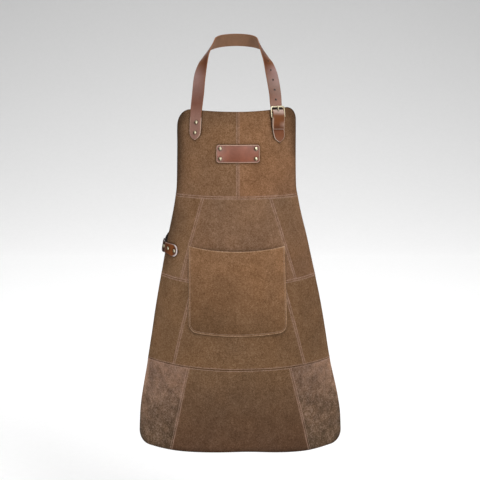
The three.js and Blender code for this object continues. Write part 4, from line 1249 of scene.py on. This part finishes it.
# Lengths between which the rubbed front ends, rubbing of the upper and lower edge, rubbing in from the front
HIP_FRONT, HIP_UPPER_RUB, HIP_LOWER_RUB = (8, 12), 0.8, 0.25
HIP_FRONT_RUB, HIP_FRONT_RUB_REACH = 1.45, 1.9
upright = [(at, (lean, 0.0, 1.0), HIP_HALF) for at, lean in HIP_FREE]
hip = strap_frames(on_panel(HIP_ON_PANEL) + upright, 1.4)


def hip_tab():
    made = strap_mesh(hip, HIP_THICK)
    points, _, marks = made
    walked, over = marks["walked"], marks["over"]
    half = np.interp(walked, hip["walked"], hip["half"])
    slope = np.interp(walked, hip["walked"], np.gradient(hip["half"], hip["walked"]))
    inside = np.minimum(walked, half * (1 - np.abs(over)) / np.sqrt(1 + slope ** 2))
    front = 1 - ramp(walked, *HIP_FRONT)
    sides = marks["edge"] * np.maximum(np.where(over > 0, HIP_UPPER_RUB, HIP_LOWER_RUB), front)
    rubbed = np.maximum(sides, front * np.clip(HIP_FRONT_RUB - inside / HIP_FRONT_RUB_REACH, 0, 1))
    shade = painted_rivet_shade(points, HIP_RIVETS, GAP + HIP_THICK)
    face, raw = toned(walked, HIP_TONES), toned(walked, HIP_RAW)
    strap_piece("hip_tab", made, DULL, face, raw, HIP_FLESH, rubbed, shade)


def waist_strap():
    start, end = (
        on_panel([(s, z, WAIST_LIFT, WAIST_HALF) for s, z in rows]) for rows in (WAIST_START, WAIST_END)
    )
    free = [(at, (lean, 0.0, 1.0), WAIST_HALF) for at, lean in WAIST_FREE]
    made = strap_mesh(strap_frames(start + free + end, 3.0), WAIST_THICK)
    # Dark brown leather darkened to near black with painted shade, where the strap turns behind the apron
    strap_piece("waist_strap", made, DULL, srgb(46, 28, 19), srgb(40, 26, 20), srgb(30, 20, 16))


neck_strap()
buckle_tab()
hip_tab()
waist_strap()


# Bare leather patch on the bib

PATCH_TOP, PATCH_FOOT, PATCH_RAW = srgb(143, 92, 75), srgb(134, 76, 53), srgb(198, 164, 144)
# Crease along the edge: distance from it, depth and width, painted shade in it and its width
CREASE_AT, CREASE, CREASE_WIDTH, CREASE_SHADE, CREASE_SHADE_WIDTH = 2.6, 0.16, 0.6, 0.25, 0.9
# At each rivet: depth and width of the dent, then depth, radius, reach and shift to the lower left of a ring
# of painted shade
PATCH_DENT, PATCH_DENT_WIDTH = 0.5, 5.5
PATCH_RIVET_SHADE, PATCH_RIVET_SHADE_RADIUS, PATCH_RIVET_SHADE_REACH, PATCH_RIVET_SHADE_SHIFT = 0.6, 4.3, 1.1, 0.5
PATCH_SPACING = 1.2


def patch():
    grid, away = spread_sheet(*patch_lines(), PATCH_SPACING)
    s, z = grid[..., 0].ravel(), grid[..., 1].ravel()
    edge = np.minimum.reduce(list(away.values()))
    dent = sum(PATCH_DENT * bell(np.hypot(s - a, z - b), PATCH_DENT_WIDTH) for a, b in PATCH_RIVETS)
    crease = CREASE * bell(edge - CREASE_AT, CREASE_WIDTH)
    outer = GAP + PATCH["thick"] - round_edge(edge, 0.7) - dent - crease + 0.15 * mottle(s, z, 22, 31)
    points, faces, pattern, layer = sheet_solid(grid, 1, outer, GAP + round_edge(edge, 0.4))
    raw = np.where(layer > 0, 1.0, np.clip(1.15 * bell(edge, 1.25), 0, 1)[pattern])
    shade = 1 + mottled(s, z, (0.16, 26, 33), (0.09, 8, 35))
    shade = shade * (1 - CREASE_SHADE * bell(edge - CREASE_AT, CREASE_SHADE_WIDTH))
    for a, b in PATCH_RIVETS:
        past = np.hypot(s - a + PATCH_RIVET_SHADE_SHIFT, z - b + PATCH_RIVET_SHADE_SHIFT) - PATCH_RIVET_SHADE_RADIUS
        shade = shade * (1 - PATCH_RIVET_SHADE * near(past, PATCH_RIVET_SHADE_REACH))
    tone = blend(PATCH_TOP, PATCH_FOOT, ramp(z, PATCH["z"] + 14, PATCH["z"] - 14)) * shade[:, None]
    tone = blend(tone[pattern], PATCH_RAW, raw)
    looks = {"tone": tone, "raw": raw}
    return piece("bib_patch_leather", points, faces, GLOSSY, "patch_leather", ["bib_patch"], **looks)


patch()


# Brass rivets, buckle and prong

RIVET = {"dome": 4.3, "lip": 0.35, "rise": 2.3, "shank": 1.4, "cap": 3.8, "cap_height": 0.8, "sides": 28}
# How far a head stands off a strap or sinks in the patch, and how far the back cap stands off
RIVET_SEAT, RIVET_SUNK = 0.2, 0.15
RIVET_BACK = 0.6
EDGE_RIVET_GRIP = 6.3
# Direction of a dome's lit side; the side away from it gets painted shade
BRIGHT_SIDE = np.array([0.9, 0.0, 0.4])
# Prong's eye round the heel bar
PRONG_EYE = {"ring": 3.5, "bore": 2.2, "width": 4.0, "bevel": 0.4, "steps": 24}
PRONG_SIDES = 12
# Prong's bar: share of its length and radius
PRONG_BAR = np.array([
    (0, 1.25), (0.06, 1.35), (0.5, 1.3), (0.8, 1.2), (0.93, 1.1), (0.985, 0.8), (1.0, 0.35),
])


def rivet(node, seat, out, grip):
    """Domed rivet with its shank and back cap, turned on its axis."""
    dome, lip, rise, shank, cap, cap_height, sides = RIVET.values()
    foot = -grip - cap_height
    body = [(cap - 0.3, foot), (cap, foot + 0.3), (cap, -grip), (shank, -grip)]
    body += [(shank, 0.0), (dome - 0.2, 0.0), (dome, 0.15), (dome, lip)]
    for turn in np.radians(np.linspace(0, 90, 9))[1:-1]:
        body.append((dome * 0.985 * math.cos(turn), lip + (rise - lip) * math.sin(turn)))
    radius, height = np.array(body).T[..., None, None]
    aside = unit(np.cross(out, (0.3, 0.2, 1.0)))
    rings = seat + radius * circle(aside, np.cross(out, aside), sides) + height * out
    points = np.concatenate([rings.reshape(-1, 3), [seat + foot * out, seat + rise * out]])
    faces = tube_faces(len(body), sides)
    last = len(body) * sides
    for i in range(sides):
        k = (i + 1) % sides
        faces += [[last, k, i], [last + 1, last - sides + i, last - sides + k]]
    spot = (points - seat) / dome
    rim = np.linalg.norm(np.cross(spot, out), axis=1)
    dull_rim = np.clip((rim - 0.82) / 0.16, 0, 0.8)
    # Dull rim, and painted shade on the side away from BRIGHT_SIDE
    tarnish = np.maximum(dull_rim, np.clip(0.05 - 2.4 * spot @ BRIGHT_SIDE, 0, 0.95))
    piece(node + "_brass", points, faces, BRASS, "brass", [node], tarnish=tarnish)


def buckle_frame():
    wire, half, corner = BUCKLE["wire"], BUCKLE["half"], BUCKLE["corner"]
    loop, outs = [], []
    for side, v, start in (
        (1, buckle_length - corner, 0), (-1, buckle_length - corner, 90), (-1, corner, 180), (1, corner, 270),
    ):
        for turn in np.radians(np.linspace(start, start + 90, 9)):
            out = math.cos(turn) * buckle_across + math.sin(turn) * buckle_down
            loop.append(on_buckle(side * (half - corner), v) + corner * out)
            outs.append(out)
    sides = BUCKLE_SIDES
    points = np.array(loop)[:, None] + wire * circle(np.array(outs), buckle_out, sides)
    points = points.reshape(-1, 3)
    # Painted shade on the back half of the wire, which faces the bib
    back = np.clip(-0.2 - np.sin(np.arange(sides) * 2 * math.pi / sides), 0, 1)
    faces = tube_faces(len(loop), sides, True)
    tarnish = np.tile(back, len(loop))
    piece("buckle_frame_brass", points, faces, BRASS, "brass", ["buckle_frame"], tarnish=tarnish)


def buckle_prong():
    ring, bore, width, bevel, steps = PRONG_EYE.values()
    edge = width / 2
    section = [(bore, -edge), (ring - bevel, -edge), (ring, bevel - edge)]
    section += [(r, -over) for r, over in section[::-1]]
    radius, over = np.array(section).T[..., None]
    round_bar = circle(buckle_down, buckle_out, steps)[:, None]
    eye = heel_bar + radius * round_bar + over * buckle_across
    share, thick = PRONG_BAR.T
    line = PRONG_FROM + share[:, None] * (PRONG_TO - PRONG_FROM)
    run = unit(np.gradient(line, axis=0))
    aside = unit(np.cross(run, buckle_across + 0.37 * buckle_down))
    bar = line[:, None] + circle(aside, np.cross(run, aside), PRONG_SIDES) * thick[:, None, None]
    points, faces = joined([
        (eye.reshape(-1, 3), tube_faces(steps, len(radius), True)),
        (bar.reshape(-1, 3), tube_faces(len(bar), PRONG_SIDES) + cap_faces(len(bar), PRONG_SIDES)),
    ])
    # Painted shade down the prong, where it goes under the strap
    tarnish = np.clip(((points - PRONG_TO) @ buckle_down - 5.5) / 4, 0, 0.6)
    piece("buckle_prong_brass", points, faces, BRASS, "brass", ["buckle_prong"], tarnish=tarnish)


for node, places, seat, under in (
    ("patch_rivet", PATCH_RIVETS, GAP + PATCH["thick"] - RIVET_SUNK, 0.0),
    ("neck_rivet", STRAP_RIVETS, GAP + STRAP_THICK + RIVET_SEAT, 0.0),
    ("hip_rivet", HIP_RIVETS, GAP + HIP_THICK + RIVET_SEAT, WAIST_GAP + WAIST_THICK),
):
    for n, (s, z) in enumerate(places):
        rivet(f"{node}_{n + 1}", above(s, z, seat), outward(s, z), seat + LEATHER + under + RIVET_BACK)
edge_rivet = np.array(HIP_EDGE_RIVET)
edge_out = unit(hip["face"][np.argmin(np.linalg.norm(hip["at"] - edge_rivet, axis=1))])
edge_seat = edge_rivet + edge_out * (HIP_THICK / 2 + RIVET_SEAT)
rivet("hip_rivet_3", edge_seat, edge_out, (HIP_THICK + WAIST_THICK) / 2 + EDGE_RIVET_GRIP)
buckle_frame()
buckle_prong()

# Pale floor that curves up far behind, in metres, and soft studio light
FLOOR_Z, FLOOR_FRONT, WALL_Y, WALL_TOP, FLOOR_BEND, FLOOR_HALF = -1.35, -9.0, 7.0, 8.0, 2.5, 14.0
PALE_WALL, SHADED_WALL = (0.96, 0.96, 0.96, 1.0), (0.56, 0.56, 0.56, 1.0)
profile = [(FLOOR_FRONT, FLOOR_Z)]
for turn in np.radians(np.linspace(0, 90, 25)):
    y, z = FLOOR_BEND * (1 - math.sin(turn)), FLOOR_BEND * (1 - math.cos(turn))
    profile.append((WALL_Y - y, FLOOR_Z + z))
profile.append((WALL_Y, WALL_TOP))
floor_points = [(x, y, z) for y, z in profile for x in (-FLOOR_HALF, FLOOR_HALF)]
floor_faces = [(2 * k, 2 * k + 1, 2 * k + 3, 2 * k + 2) for k in range(len(profile) - 1)]
floor_mesh = bpy.data.meshes.new("floor")
floor_mesh.from_pydata(floor_points, [], floor_faces)
floor_mesh.shade_smooth()
floor = bpy.data.objects.new("floor", floor_mesh)
scene.collection.objects.link(floor)


def floor_material():
    """Paper, pale on the floor and greyer up the wall with painted shade."""
    m = Shading("floor")
    paper = m.ranged(m.noise(40.0, 3.0, 0.5), 0.3, 0.7, 0.985, 1.0)
    height = m.add("ShaderNodeSeparateXYZ", {0: m.where}).outputs["Z"]
    up = m.combined("POWER", m.ranged(height, -1.34, 0.3, 0.0, 1.0), 0.55)
    return m.finish(m.scaled(m.mixed(up, PALE_WALL, SHADED_WALL), paper), 0.95, {})


def softbox(name, place, aim, size, power):
    data = bpy.data.lights.new(name, "AREA")
    data.shape = "DISK"
    data.size = size
    data.energy = power
    lamp = bpy.data.objects.new(name, data)
    scene.collection.objects.link(lamp)
    lamp.location = place
    lamp.rotation_euler = (Vector(aim) - Vector(place)).to_track_quat("-Z", "Y").to_euler()


floor_mesh.materials.append(floor_material())
world = bpy.data.worlds.new("studio")
scene.world = world
world.use_nodes = True
background = world.node_tree.nodes["Background"]
background.inputs["Color"].default_value = (1.0, 1.0, 1.0, 1.0)
background.inputs["Strength"].default_value = 0.28
softbox("key", (1.6, -2.8, 1.5), (0.0, -0.2, -0.45), 1.3, 60)
softbox("fill", (-2.0, -3.0, 0.3), (0.0, -0.2, -0.5), 1.8, 22)
softbox("floor_light", (0.0, 2.4, 5.0), (0.0, 3.2, -1.3), 5.0, 345)
